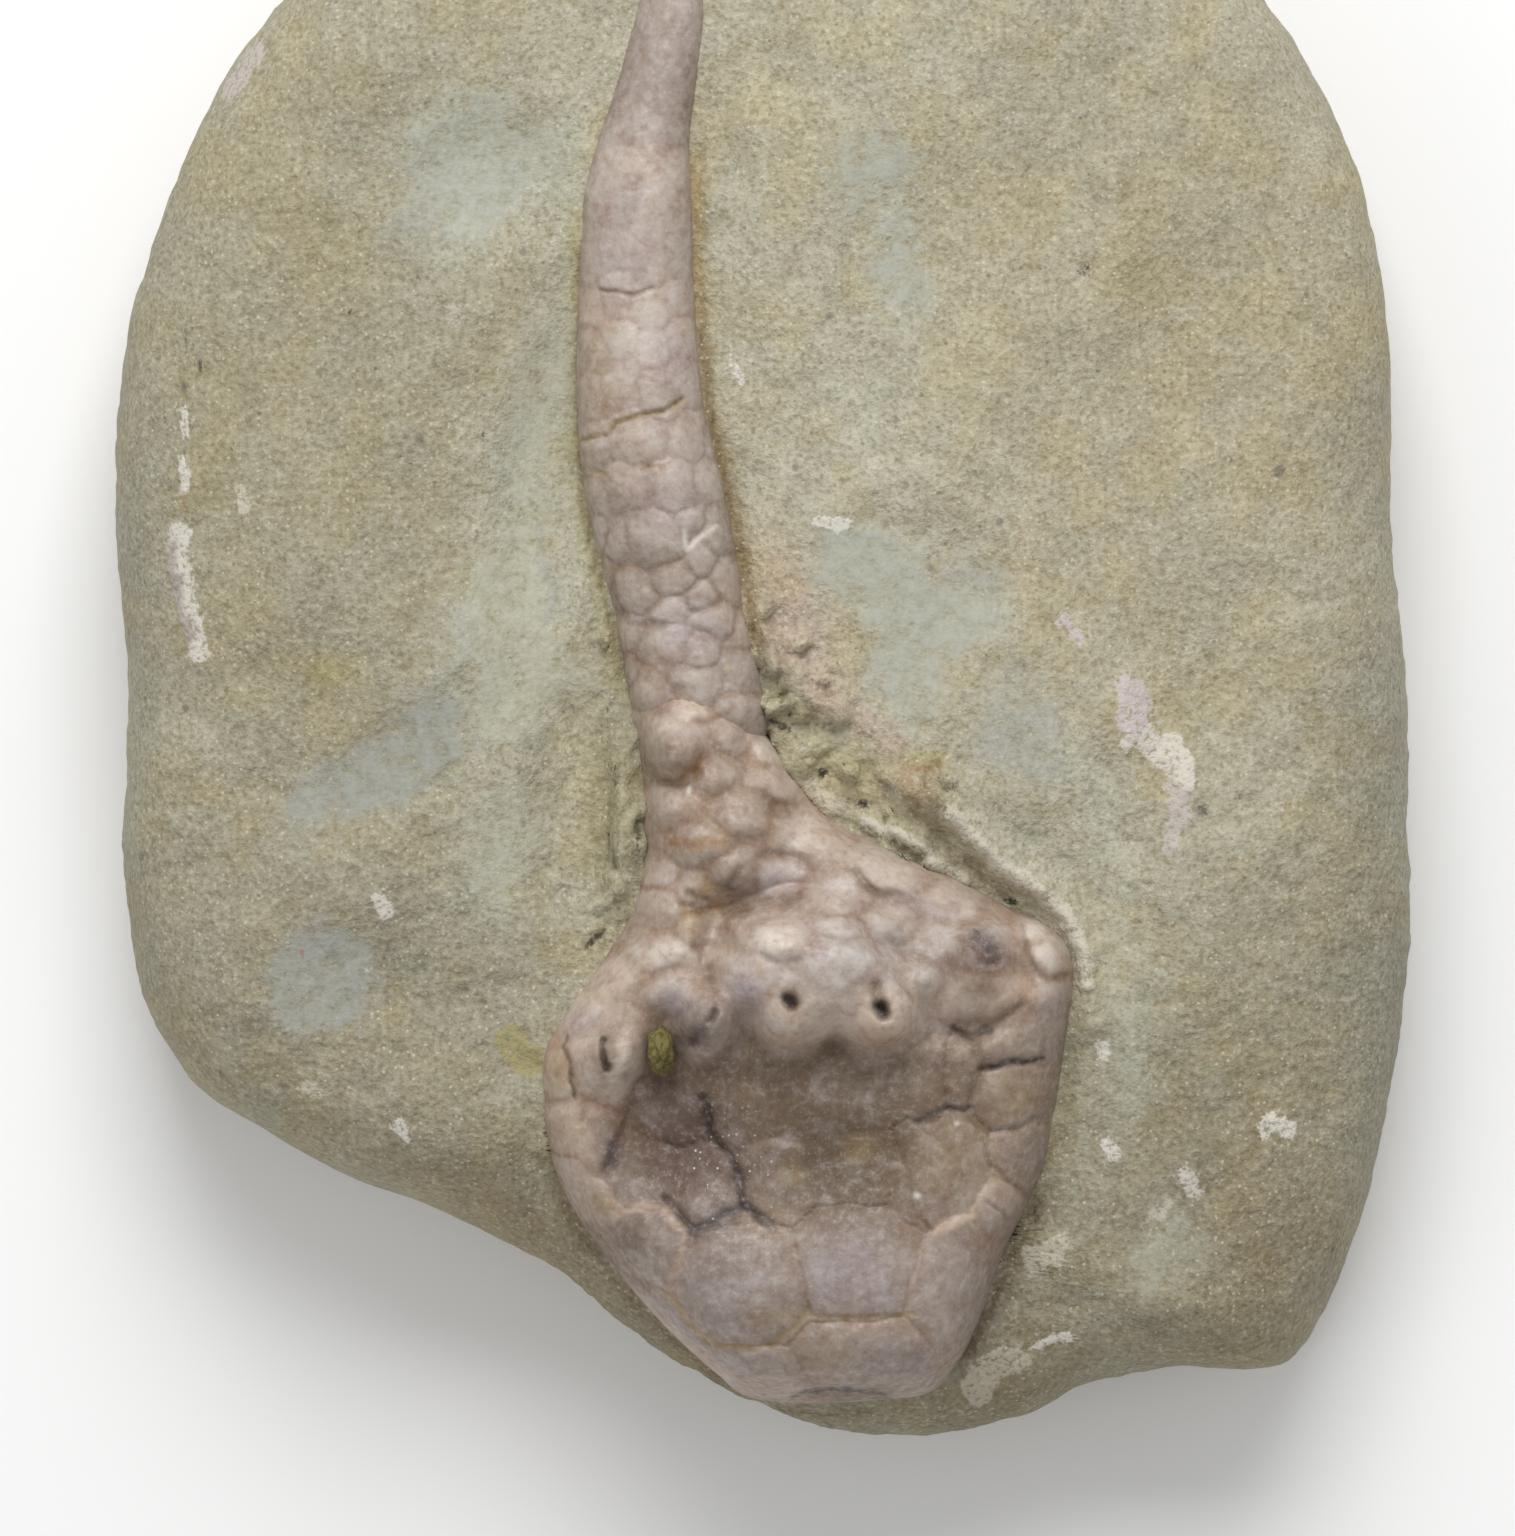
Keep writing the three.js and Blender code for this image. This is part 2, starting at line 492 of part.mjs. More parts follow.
/** The calyx, cut off flat at the tube's foot, with its arm openings. */
function calyxSolid() {
  let solid = solidOf(calyxBody()).subtract(halfSpace(1));
  for (const [x, y, radius, depth] of ARM_OPENINGS) {
    const pit = new THREE.CylinderGeometry(radius, radius / 2, 2 * depth, OPENING_SIDES);
    pit.rotateX(Math.PI / 2);
    pit.translate(x, y, crestHeight(x, y));
    solid = solid.subtract(solidOf(welded(pit)));
  }
  return solid;
}

/** The tube, cut off flat at the calyx. */
function tubeSolid() {
  return solidOf(tubeBody()).subtract(halfSpace(-1));
}

/** The sediment lump, clear of the calyx by the touching gap on every side. */
function plugSolid(calyx) {
  const ball = new THREE.SphereGeometry(1, PLUG.segments, PLUG.rings);
  ball.scale(...PLUG.radii);
  ball.rotateZ(degToRad(PLUG.turn));
  ball.translate(...PLUG.centre);
  let solid = solidOf(welded(ball));
  const moves = [[0, 0, 1], [1, 0, 0], [-1, 0, 0], [0, 1, 0], [0, -1, 0]];
  for (const move of moves) {
    const shifted = calyx.translate(move.map((step) => step * CUT.gap));
    solid = solid.subtract(shifted);
  }
  return solid;
}

/** The slab with the socket that the fossil lies in. */
function matrixSolid() {
  return solidOf(slabBody())
    .subtract(solidOf(calyxBody(SOCKET_GAP, SOCKET_HEADROOM, SOCKET_GAP)))
    .subtract(solidOf(tubeBody(SOCKET_GAP, SOCKET_HEADROOM)));
}

/** A named mesh with its own material. */
function piece(name, solid, color, roughness) {
  const material = new THREE.MeshStandardMaterial({ color, roughness, metalness: 0 });
  const mesh = new THREE.Mesh(geometryOf(solid), material);
  mesh.name = name;
  return mesh;
}

const calyx = calyxSolid();
const plate = new THREE.Group();
plate.add(piece("matrix", matrixSolid(), 0xa7a087, 0.9));
plate.add(piece("calyx", calyx, 0xa08f85, 0.6));
plate.add(piece("anal_tube", tubeSolid(), 0xa99a90, 0.6));
plate.add(piece("sediment_plug", plugSolid(calyx), 0x8f8a55, 0.95));

export default plate;
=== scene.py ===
"""The looks of a crinoid fossil plate: a sea lily's calyx and anal tube, half sunk in a slab of siltstone.

Shapes are worked out in millimetres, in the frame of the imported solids: +Z up, the origin in the middle of
the flat underside, +Y towards the tip of the tube. They become metres where a mesh is made.
"""

from __future__ import annotations

import logging
import math
from collections.abc import Callable, Mapping, Sequence
from dataclasses import dataclass, field
from enum import Enum
from typing import Protocol

import bpy
import numpy as np
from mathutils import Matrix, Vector
from numpy.typing import NDArray

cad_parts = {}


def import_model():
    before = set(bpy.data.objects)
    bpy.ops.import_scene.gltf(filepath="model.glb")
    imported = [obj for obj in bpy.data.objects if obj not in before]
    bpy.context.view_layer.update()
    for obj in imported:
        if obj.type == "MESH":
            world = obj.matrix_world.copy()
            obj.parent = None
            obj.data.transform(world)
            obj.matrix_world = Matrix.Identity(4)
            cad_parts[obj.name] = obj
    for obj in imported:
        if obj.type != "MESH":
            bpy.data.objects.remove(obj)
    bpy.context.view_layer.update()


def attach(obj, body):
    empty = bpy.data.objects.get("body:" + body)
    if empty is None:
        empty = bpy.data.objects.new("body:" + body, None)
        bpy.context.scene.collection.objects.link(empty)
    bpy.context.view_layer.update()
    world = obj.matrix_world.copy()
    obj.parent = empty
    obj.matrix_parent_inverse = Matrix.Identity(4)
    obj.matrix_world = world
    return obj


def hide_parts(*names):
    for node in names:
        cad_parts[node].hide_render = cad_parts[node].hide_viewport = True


Array = NDArray[np.float64]
Indices = NDArray[np.int64]
Point = tuple[float, float]
Triple = tuple[float, float, float]
Row = tuple[float, ...]
Socket = bpy.types.NodeSocket
Feed = Socket | float | Row

MM = 0.001
log = logging.getLogger("fossil")


class Tone(Enum):
    """Colours of stone, fossil and marks, as screen values from 0 to 255."""

    STONE_LEFT = (166, 161, 138)
    STONE_RIGHT = (176, 172, 150)
    STONE_MIDDLE = (186, 182, 161)
    STONE_LOW_SHADE = (156, 151, 131)
    STONE_SHADE = (133, 126, 105)
    STONE_EDGE_BOUNCE = (155, 154, 140)
    SCRAPED_BLUE = (176, 178, 166)
    SCRAPED_GREY = (163, 165, 158)
    SCRAPED_GREEN = (183, 183, 166)
    CRUMB = (184, 178, 150)
    CRUMB_SHADE = (112, 102, 74)
    MOSS = (104, 96, 58)
    YELLOW = (164, 154, 104)
    OCHRE = (160, 138, 96)
    ORANGE = (158, 124, 86)
    BROWN = (112, 92, 70)
    CRACK = (54, 44, 38)
    BLACK = (34, 28, 25)
    SLATE = (72, 66, 68)
    MAUVE = (112, 96, 92)
    PINK_DEBRIS = (190, 172, 156)
    PALE = (204, 198, 182)
    CHALK = (222, 217, 207)
    LILAC = (176, 166, 172)
    RED = (168, 84, 72)
    TUBE_DOME = (178, 165, 154)
    TUBE_GROOVE = (168, 151, 140)
    TIP_DOME = (164, 151, 142)
    TIP_GROOVE = (150, 134, 124)
    TEGMEN_DOME = (188, 173, 161)
    TEGMEN_GROOVE = (155, 133, 115)
    FACET_DOME = (190, 180, 173)
    FACET_GROOVE = (166, 149, 138)
    CUP_DOME = (152, 141, 135)
    CUP_GROOVE = (150, 132, 118)
    CUP_WARM = (141, 123, 105)
    CUP_SHADE = (99, 83, 65)
    CUP_DARK = (93, 73, 61)
    CUP_EDGE = (172, 154, 138)
    CREAM = (216, 205, 190)
    PEACH = (196, 174, 154)
    PURPLE = (84, 64, 62)
    ROSE = (202, 190, 188)


def linear(tone: Tone) -> Array:
    """A tone's screen values as the linear colour that a shader mixes."""
    share = np.array(tone.value, float) / 255
    return np.where(share < 0.04045, share / 12.92, ((share + 0.055) / 1.055) ** 2.4)


def smooth_step(low: float, high: float, value: Array) -> Array:
    """0 below `low`, 1 above `high`, and the cubic 3t² - 2t³ between them."""
    share = np.clip((value - low) / (high - low), 0, 1)
    return share * share * (3 - 2 * share)


def root_fall(at: Array, power: float) -> Array:
    """1 in the middle, falling to 0 at -1 and 1 by sqrt(1 - |at|^power)."""
    return np.sqrt(np.maximum(0, 1 - np.abs(np.clip(at, -1, 1)) ** power))


def fade(distance: Array, reach: float, power: float) -> Array:
    """1 at distance 0, falling smoothly to 0 by exp(-(distance / reach)^power)."""
    return np.exp(-((distance / reach) ** power))


def mix(a: Array, b: Array, share: Array) -> Array:
    """Colours `a` turned towards `b` by a share for each point."""
    return a + (b - a) * share[:, None]


def along(table: Sequence[Row], at: Array, column: int = 1) -> Array:
    """Smooth values of a table by its first column.

    Between two rows the value is the cubic with their values and with slopes taken over their neighbours.

    Args:
        table: Rows sorted by a rising first column.
        at: Places to read it at, held to its first and last row.
        column: The column to read.

    Returns:
        One value for each place.
    """
    rows = np.asarray(table, float)
    places, values = rows[:, 0], rows[:, column]
    slopes = np.empty_like(values)
    slopes[1:-1] = (values[2:] - values[:-2]) / (places[2:] - places[:-2])
    slopes[0] = (values[1] - values[0]) / (places[1] - places[0])
    slopes[-1] = (values[-1] - values[-2]) / (places[-1] - places[-2])
    place = np.clip(at, places[0], places[-1])
    row = np.clip(np.searchsorted(places, place) - 1, 0, len(places) - 2)
    span = places[row + 1] - places[row]
    t = (place - places[row]) / span
    eased = values[row] + (values[row + 1] - values[row]) * t * t * (3 - 2 * t)
    return eased + t * (1 - t) * span * ((1 - t) * slopes[row] - t * slopes[row + 1])


def radius_around(outline: Sequence[Point], pole: Point) -> Callable[[Array], Array]:
    """The distance from a pole to an outline as a smooth periodic function of the angle.

    Args:
        outline: Points of a closed line, star-shaped round the pole.
        pole: The point that angles and distances are taken from.

    Returns:
        A function from angles in radians to distances.
    """
    offset = np.asarray(outline, float) - np.asarray(pole, float)
    angle = np.arctan2(offset[:, 1], offset[:, 0])
    order = np.argsort(angle)
    angle, radius = angle[order], np.hypot(offset[:, 0], offset[:, 1])[order]
    turn = 2 * math.pi
    rows = np.column_stack(
        [
            np.concatenate([angle[-2:] - turn, angle, angle[:2] + turn]),
            np.concatenate([radius[-2:], radius, radius[:2]]),
        ]
    )
    return lambda at: along(rows, at)


def ellipse_reach(x: Array, y: Array, centre: Point, half: Point, turn: float) -> Array:
    """Distance from the middle of an ellipse turned by some degrees, as a share of its edge's distance."""
    angle = math.radians(turn)
    dx, dy = x - centre[0], y - centre[1]
    across = dx * math.cos(angle) + dy * math.sin(angle)
    upward = dy * math.cos(angle) - dx * math.sin(angle)
    return np.hypot(across / half[0], upward / half[1])


def hollows(x: Array, y: Array, rows: Sequence[Row], power: float) -> Array:
    """Depth of soft hollows, given as rows of x, y, half sizes in x and y, depth and turn in degrees."""
    depths = np.zeros(x.shape)
    for cx, cy, rx, ry, depth, turn in rows:
        depths += depth * fade(ellipse_reach(x, y, (cx, cy), (rx, ry), turn), 1, power)
    return depths


def path_distance(x: Array, y: Array, path: Sequence[Point]) -> Array:
    """Distance of each point from a bent line, or from a single point."""
    if len(path) == 1:
        return np.hypot(x - path[0][0], y - path[0][1])
    best = np.full(np.shape(x), np.inf)
    for (ax, ay), (bx, by) in zip(path[:-1], path[1:]):
        dx, dy = bx - ax, by - ay
        share = np.clip(((x - ax) * dx + (y - ay) * dy) / (dx * dx + dy * dy), 0, 1)
        best = np.minimum(best, np.hypot(x - ax - share * dx, y - ay - share * dy))
    return best


def lattice(ix: Indices, iy: Indices, iz: Indices, seed: int) -> Array:
    """A repeatable random value from -1 to 1 for each corner of a unit lattice."""
    mask = 0xFFFFFFFF
    mixed = (ix * 374761393 + iy * 668265263 + iz * 2147483647 + seed * 974634777) & mask
    mixed = ((mixed ^ (mixed >> 13)) * 1274126177) & mask
    return ((mixed ^ (mixed >> 16)) & 0xFFFF) / 32768.0 - 1.0


def value_noise(x: Array, y: Array, z: Array, seed: int) -> Array:
    """Noise of unit size: lattice values joined by the quintic 6t⁵ - 15t⁴ + 10t³ along each axis."""
    corner = [np.floor(c).astype(np.int64) for c in (x, y, z)]
    share = [c - f for c, f in zip((x, y, z), corner)]
    ease = [t * t * t * (t * (t * 6 - 15) + 10) for t in share]
    total = np.zeros(np.shape(x))
    for step in range(8):
        bits = (step & 1, (step >> 1) & 1, step >> 2)
        weight = np.ones(np.shape(x))
        for bit, eased in zip(bits, ease):
            weight = weight * (eased if bit else 1 - eased)
        moved = [f + bit for f, bit in zip(corner, bits)]
        total += weight * lattice(*moved, seed)
    return total


@dataclass(frozen=True)
class Noise:
    """Smooth noise summed over octaves, each half as large and half as strong as the last.

    Attributes:
        weight: The noise runs from about -weight to weight.
        size: Millimetres across its largest lumps.
        octaves: How many sizes are summed.
        seed: Another seed gives another pattern.
        level: The height in mm from which it is read where the points give none.
    """

    weight: float
    size: float
    octaves: int
    seed: int
    level: float = 0.0

    def at(self, x: Array, y: Array, z: Array | float = 0.0) -> Array:
        """One value for each point; every octave is turned and moved so that no grid shows."""
        total, strength, norm, size = np.zeros(np.shape(x)), 1.0, 0.0, self.size
        height = np.broadcast_to(np.asarray(z + self.level, float), np.shape(x))
        for octave in range(self.octaves):
            turn, rise, seed = 0.7 * octave + 0.3, 0.37 * octave, self.seed + 17 * octave
            u = (x * math.cos(turn) - y * math.sin(turn)) / size
            v = (x * math.sin(turn) + y * math.cos(turn)) / size
            total += strength * value_noise(u, v, height / size + rise, seed)
            norm += strength
            strength, size = strength / 2, size / 2
        return self.weight * (total / norm)


@dataclass(frozen=True)
class Grains:
    """Rounded grains packed side by side, one moved about in each cell of a square lattice.

    Attributes:
        size: The lattice's spacing in mm.
        seed: Another seed gives another pattern.
        stray: How far a grain moves from the middle of its cell, as a share of the size.
        steep: How much sooner than at one size a grain's height reaches 0.
    """

    size: float
    seed: int
    stray: float = 0.42
    steep: float = 1.2

    def at(self, x: Array, y: Array) -> tuple[Array, Array, Array]:
        """The nearest grain over each point.

        Args:
            x: Points' places along X.
            y: Points' places along Y.

        Returns:
            The height sqrt(1 - (steep·distance)²), the second nearest distance less the nearest, both in
            units of the size, and a random value from -1 to 1 for each grain.
        """
        across, upward = x / self.size, y / self.size
        column, row = np.floor(across).astype(np.int64), np.floor(upward).astype(np.int64)
        first = np.full(x.shape, np.inf)
        second, own = first.copy(), np.zeros(x.shape)
        for number in range(9):
            ix, iy = column + number % 3 - 1, row + number // 3 - 1
            move_x, move_y, value = (lattice(ix, iy, np.int64(n), self.seed) for n in range(3))
            away = np.hypot(
                across - ix - 0.5 - self.stray * move_x, upward - iy - 0.5 - self.stray * move_y
            )
            nearer = away < first
            second = np.where(nearer, first, np.minimum(second, away))
            own = np.where(nearer, value, own)
            first = np.where(nearer, away, first)
        return root_fall(self.steep * first, 2), second - first, own


@dataclass(frozen=True)
class Wash:
    """A large soft area of one tone: its centre and half sizes in mm, strength and turn in degrees."""

    tone: Tone
    centre: Point
    half: Point
    strength: float
    turn: float = 0.0

    def lay(self, x: Array, y: Array, tint: Array) -> Array:
        """Turns the tints towards the tone by strength times exp(-reach³), on an edge frayed by noise."""
        fray = Noise(0.16, 0.5 * min(self.half) + 0.6, 4, 71)
        reach = ellipse_reach(x, y, self.centre, self.half, self.turn) + fray.at(x, y)
        return mix(tint, linear(self.tone), self.strength * fade(np.maximum(reach, 0), 1, 3))


def washed(x: Array, y: Array, tint: Array, washes: Sequence[Wash]) -> Array:
    """The tints after each wash in turn."""
    for wash in washes:
        tint = wash.lay(x, y, tint)
    return tint


@dataclass(frozen=True)
class Cast:
    """Clouds of noise in which colours are multiplied by a factor each for red, green and blue.

    Attributes:
        noise: The clouds, which count from 0 to 1.
        factor: What the colours are multiplied by.
        share: How far they turn to that where a cloud is whole.
    """

    noise: Noise
    factor: Triple
    share: float

    def over(self, x: Array, y: Array, tint: Array, within: Array | float = 1.0) -> Array:
        """The tints after the clouds, which may be held to an area by a share for each point."""
        clouds = np.clip(self.noise.at(x, y), 0, 1) * within
        return mix(tint, tint * np.array(self.factor), self.share * clouds)


@dataclass(frozen=True)
class Mark:
    """A crack, fleck or stain along a path, or round its only point.

    Attributes:
        tone: Its colour.
        width: Half its width in mm.
        strength: How far it hides what it lies on, from 0 to 1.
        depth: How deep it is cut in mm, below 0 where it stands out.
        path: The points it runs through.
        broken: How much of it fades out here and there, from 0 to 1.
        ragged: How far its edge strays, as a share of its width.
    """

    tone: Tone
    width: float
    strength: float
    depth: float
    path: tuple[Point, ...]
    broken: float = 0.0
    ragged: float = 0.8

    def reach(self, x: Array, y: Array) -> tuple[Array, Array, Array]:
        """Which points lie near the mark, their distance from its path, and how far it is whole there.

        Noise bends the distances by the mark's raggedness, and leaves gaps as far as it is broken.
        """
        spots, margin = np.asarray(self.path, float), 3 * self.width + 0.8
        low, high = spots.min(0) - margin, spots.max(0) + margin
        near = np.flatnonzero((x > low[0]) & (x < high[0]) & (y > low[1]) & (y < high[1]))
        xs, ys = x[near], y[near]
        stray, size = self.ragged * self.width, 1.6 * self.width + 0.15
        bent_x = xs + Noise(stray, size, 3, 31, 3.1).at(xs, ys)
        bent_y = ys + Noise(stray, size, 3, 47, 7.7).at(xs, ys)
        gaps = smooth_step(-0.15, 0.4, Noise(1.0, 0.9, 3, 91, 5.5).at(xs, ys))
        return near, path_distance(bent_x, bent_y, self.path), 1 - self.broken * gaps

    def lay(
        self, x: Array, y: Array, tint: Array, height: Array, crisp: Crisp | None = None
    ) -> None:
        """Colours and cuts the points near the mark in place, by exp(-(distance / width)²·⁵).

        Args:
            x: Points' places along X.
            y: Points' places along Y.
            tint: Their colours, one row of three values each.
            height: Their heights, lowered by the mark's depth.
            crisp: Where the mark is stored instead of in the colours, if its edge is to be sharp.
        """
        near, distance, whole = self.reach(x, y)
        share = whole * fade(distance, self.width, 2.5)
        height[near] -= self.depth * share
        if crisp is None:
            tint[near] = mix(tint[near], linear(self.tone), self.strength * share)
        else:
            crisp.add(near, distance + self.width * (1 - whole), self.width, self.tone, self.strength)


@dataclass
class Crisp:
    """Values stored with a mesh that its material turns into patches with a sharp frayed edge.

    A level is 0.5 on a patch's edge and rises or falls by 0.5 over the `span`, so that a coarse mesh holds
    it and fine noise in the material can bend the edge.

    Attributes:
        level: One value for each point.
        tint: The nearest patch's colour and, in a fourth column, how far it hides the ground.
        span: Millimetres from the edge to where the level is 0 or 1.
    """

    level: Array
    tint: Array
    span: float

    @classmethod
    def blank(cls, count: int, span: float) -> Crisp:
        """No patches yet on a mesh of `count` points."""
        return cls(np.zeros(count), np.tile([0.3, 0.3, 0.3, 0.0], (count, 1)), span)

    def add(
        self, near: Indices, distance: Array, half: float, tone: Tone, strength: float
    ) -> None:
        """Adds a patch by each point's distance from its middle or middle line.

        Args:
            near: The points that it may reach.
            distance: Their distances in mm.
            half: The distance at which its edge lies.
            tone: Its colour.
            strength: How far it hides the ground, from 0 to 1.
        """
        level = np.clip(0.5 + 0.5 * (half - distance) / self.span, 0, 1)
        over = level > self.level[near]
        self.level[near[over]] = level[over]
        self.tint[near[over]] = [*linear(tone), strength]

    def layers(self, name: str) -> dict[str, Array]:
        """The layers to store with a mesh, whose last point is a pole far from any patch."""
        tint = np.vstack([self.tint, self.tint[-1:]])
        return {name: np.append(self.level, 0.0), name + "_tint": tint}


@dataclass
class Plates:
    """The skeletal plates of one surface, and how they meet.

    Attributes:
        rows: For each plate x, y, half sizes in x and y, rise and turn in degrees.
        wander: How far noise bends the borders, in mm.
        plate_rise: What the rises are multiplied by where the sutures are soft.
        union: How tightly soft domes are joined.
        lowest: The height between soft domes that stand apart.
        soft_groove: Depth in mm and reach of the groove of a soft suture.
        cuts: The same for the narrow and the wide part of a crisp one.
        full_rise: The rise at which a crisp suture is cut to its whole depth.
        dome_border: How far two reaches must differ for a plate's tone to be that of its dome.
        dome_middle: The reaches between which that tone weakens.
    """

    rows: list[Row]
    wander: float = 0.28
    plate_rise: float = 1.0
    union: float = 8.0
    lowest: float = -0.25
    soft_groove: Point = (0.03, 0.35)
    cuts: tuple[Point, Point] = ((0.07, 0.05), (0.05, 0.28))
    full_rise: float = 0.3
    dome_border: float = 0.6
    dome_middle: Point = (0.45, 1.15)

    def relief(self, x: Array, y: Array, crisp: Array) -> tuple[Array, Array, Array]:
        """Height, doming and tone of the plates over each point.

        A plate is the low dome rise·(1 - reach²). Where sutures are soft the domes are joined by
        ln(Σ exp(union·height)) / union. Where they are crisp the nearest row's dome counts, with a narrow
        groove where the two nearest reaches are alike.

        Args:
            x: Points' places along X.
            y: Points' places along Y.
            crisp: 1 where sutures are narrow cuts, 0 where they are soft folds.

        Returns:
            The height to add, 1 on a plate's middle to 0 on its border, and a random value per plate.
        """
        bent_x = x + Noise(self.wander, 1.3, 3, 5, 1.3).at(x, y)
        bent_y = y + Noise(self.wander, 1.3, 3, 8, 9.1).at(x, y)
        first = np.full(x.shape, np.inf)
        second, rise, own = first.copy(), *np.zeros((2, *x.shape))
        joined = np.full(x.shape, math.exp(self.union * self.lowest))
        for number, (cx, cy, rx, ry, height, turn) in enumerate(self.rows):
            reach = ellipse_reach(bent_x, bent_y, (cx, cy), (rx, ry), turn)
            nearer = reach < first
            second = np.where(nearer, first, np.minimum(second, reach))
            rise = np.where(nearer, height, rise)
            own = np.where(nearer, math.sin(12.9898 * number + 4.1), own)
            first = np.where(nearer, reach, first)
            dome = self.plate_rise * height * (1 - np.minimum(reach, 2) ** 2)
            joined += np.exp(self.union * dome)
        gap = second - first
        depth, width = self.soft_groove
        soft = np.log(joined) / self.union - depth * fade(gap, width, 2)
        cut = sum(depth * fade(gap, width, 2) for depth, width in self.cuts)
        flat = rise * (1 - np.minimum(first, 1.2) ** 2) - cut * np.minimum(rise / self.full_rise, 1.2)
        middle = 1 - 0.6 * smooth_step(*self.dome_middle, first)
        return soft + (flat - soft) * crisp, smooth_step(0.0, self.dome_border, gap) * middle, own


def add_mesh(name: str, points: Array, quads: Indices, fans: Indices) -> bpy.types.Object:
    """A smooth-shaded object from points in mm and faces that point outwards.

    Args:
        name: The piece's name.
        points: One row of three coordinates for each vertex.
        quads: Faces of four vertices.
        fans: Faces of three vertices.

    Returns:
        The object, at the origin, with its place in its mesh.
    """
    mesh = bpy.data.meshes.new(name)
    corners = np.concatenate([quads.ravel(), fans.ravel()])
    starts = np.concatenate(
        [np.arange(len(quads)) * 4, quads.size + np.arange(len(fans)) * 3]
    )
    mesh.vertices.add(len(points))
    mesh.vertices.foreach_set("co", (points * MM).astype(np.float32).ravel())
    mesh.loops.add(len(corners))
    mesh.loops.foreach_set("vertex_index", corners.astype(np.int32))
    mesh.polygons.add(len(starts))
    mesh.polygons.foreach_set("loop_start", starts.astype(np.int32))
    mesh.update(calc_edges=True)
    mesh.validate()
    mesh.shade_smooth()
    piece = bpy.data.objects.new(name, mesh)
    bpy.context.scene.collection.objects.link(piece)
    return piece


def paint(piece: bpy.types.Object, name: str, values: Array) -> None:
    """Stores one value or one colour for each vertex under a name that the materials read."""
    if values.ndim == 1:
        layer = piece.data.attributes.new(name, "FLOAT", "POINT")
        layer.data.foreach_set("value", values.astype(np.float32))
        return
    layer = piece.data.attributes.new(name, "FLOAT_COLOR", "POINT")
    if values.shape[1] == 3:
        values = np.column_stack([np.clip(values, 0.004, 1), np.ones(len(values))])
    layer.data.foreach_set("color", values.astype(np.float32).ravel())


def ring_faces(rings: int, segments: int) -> tuple[Indices, Indices]:
    """Faces of a closed body of rings between two poles.

    The vertices are the first pole, then ring after ring, then the last pole. Seen from the first pole's
    side the angle rises anticlockwise along a ring.

    Args:
        rings: How many rings there are.
        segments: How many vertices a ring has.

    Returns:
        Quads between the rings, and triangles round the poles.
    """
    step = np.arange(segments)
    after = (step + 1) % segments
    inner = 1 + np.arange(rings - 1)[:, None] * segments
    outer = inner + segments
    quads = np.stack([inner + step, outer + step, outer + after, inner + after], -1)
    last = 1 + (rings - 1) * segments
    top = np.stack([np.zeros(segments, int), 1 + step, 1 + after], -1)
    under = np.stack([np.full(segments, last + segments), last + after, last + step], -1)
    return quads.reshape(-1, 4), np.concatenate([top, under])


def sheet_faces(count: int, rings: int) -> tuple[Indices, Indices, Indices]:
    """Faces of a closed body whose upper side is a square grid and whose underside is rings to a pole.

    Args:
        count: Squares along one side of the grid.
        rings: Rings under the grid's border, not counting the border itself.

    Returns:
        Quads, triangles round the lower pole, and the vertices of the border in anticlockwise order.
    """
    index = np.arange((count + 1) ** 2).reshape(count + 1, count + 1)
    grid = np.stack([index[:-1, :-1], index[:-1, 1:], index[1:, 1:], index[1:, :-1]], -1)
    border = np.concatenate(
        [index[0, :-1], index[:-1, -1], index[-1, :0:-1], index[:0:-1, 0]]
    )
    segments = 4 * count
    start = (count + 1) ** 2
    loops = np.vstack([border, start + np.arange(rings * segments).reshape(rings, segments)])
    step = np.arange(segments)
    after = (step + 1) % segments
    skirt = np.stack(
        [loops[:-1], loops[1:], loops[1:][:, after], loops[:-1][:, after]], -1
    )
    pole = start + rings * segments
    fan = np.stack([np.full(segments, pole), loops[-1][after], loops[-1]], -1)
    return np.concatenate([grid.reshape(-1, 4), skirt.reshape(-1, 4)]), fan, border


def graded(count: int, density: Sequence[Row]) -> Array:
    """Places from -1 to 1 that stand as close together as a table of densities says.

    Args:
        count: How many steps there are.
        density: Rows of a place and how closely the steps stand there.

    Returns:
        One more place than there are steps.
    """
    even = np.linspace(-1, 1, 2001)
    crowding = along(density, even)
    filled = np.concatenate([[0], np.cumsum((crowding[1:] + crowding[:-1]) / 2)])
    return np.interp(np.linspace(0, filled[-1], count + 1), filled, even)


def disc_grid(across: Array, upward: Array) -> tuple[Array, Array]:
    """Angle and share of radius of a square grid spread over a disc.

    Each square ring of the grid becomes a round one: the larger coordinate is the share, and the ratio of
    the two turns the point by up to an eighth of a circle from its axis.

    Args:
        across: The grid's columns, from -1 to 1.
        upward: The grid's rows, from -1 to 1.

    Returns:
        Angles in radians and shares from 0 in the middle to 1 on the border.
    """
    b, a = (c.ravel() for c in np.meshgrid(upward, across, indexing="ij"))
    wide = np.abs(a) >= np.abs(b)
    share = np.maximum(np.abs(a), np.abs(b))
    safe_a, safe_b = np.where(a == 0, 1, a), np.where(b == 0, 1, b)
    turned = np.where(wide, np.pi / 4 * b / safe_a, np.pi / 2 - np.pi / 4 * a / safe_b)
    negative = np.where(wide, a < 0, b < 0)
    angle = np.where(share > 0, turned + np.pi * negative, 0.0)
    return np.arctan2(np.sin(angle), np.cos(angle)), share


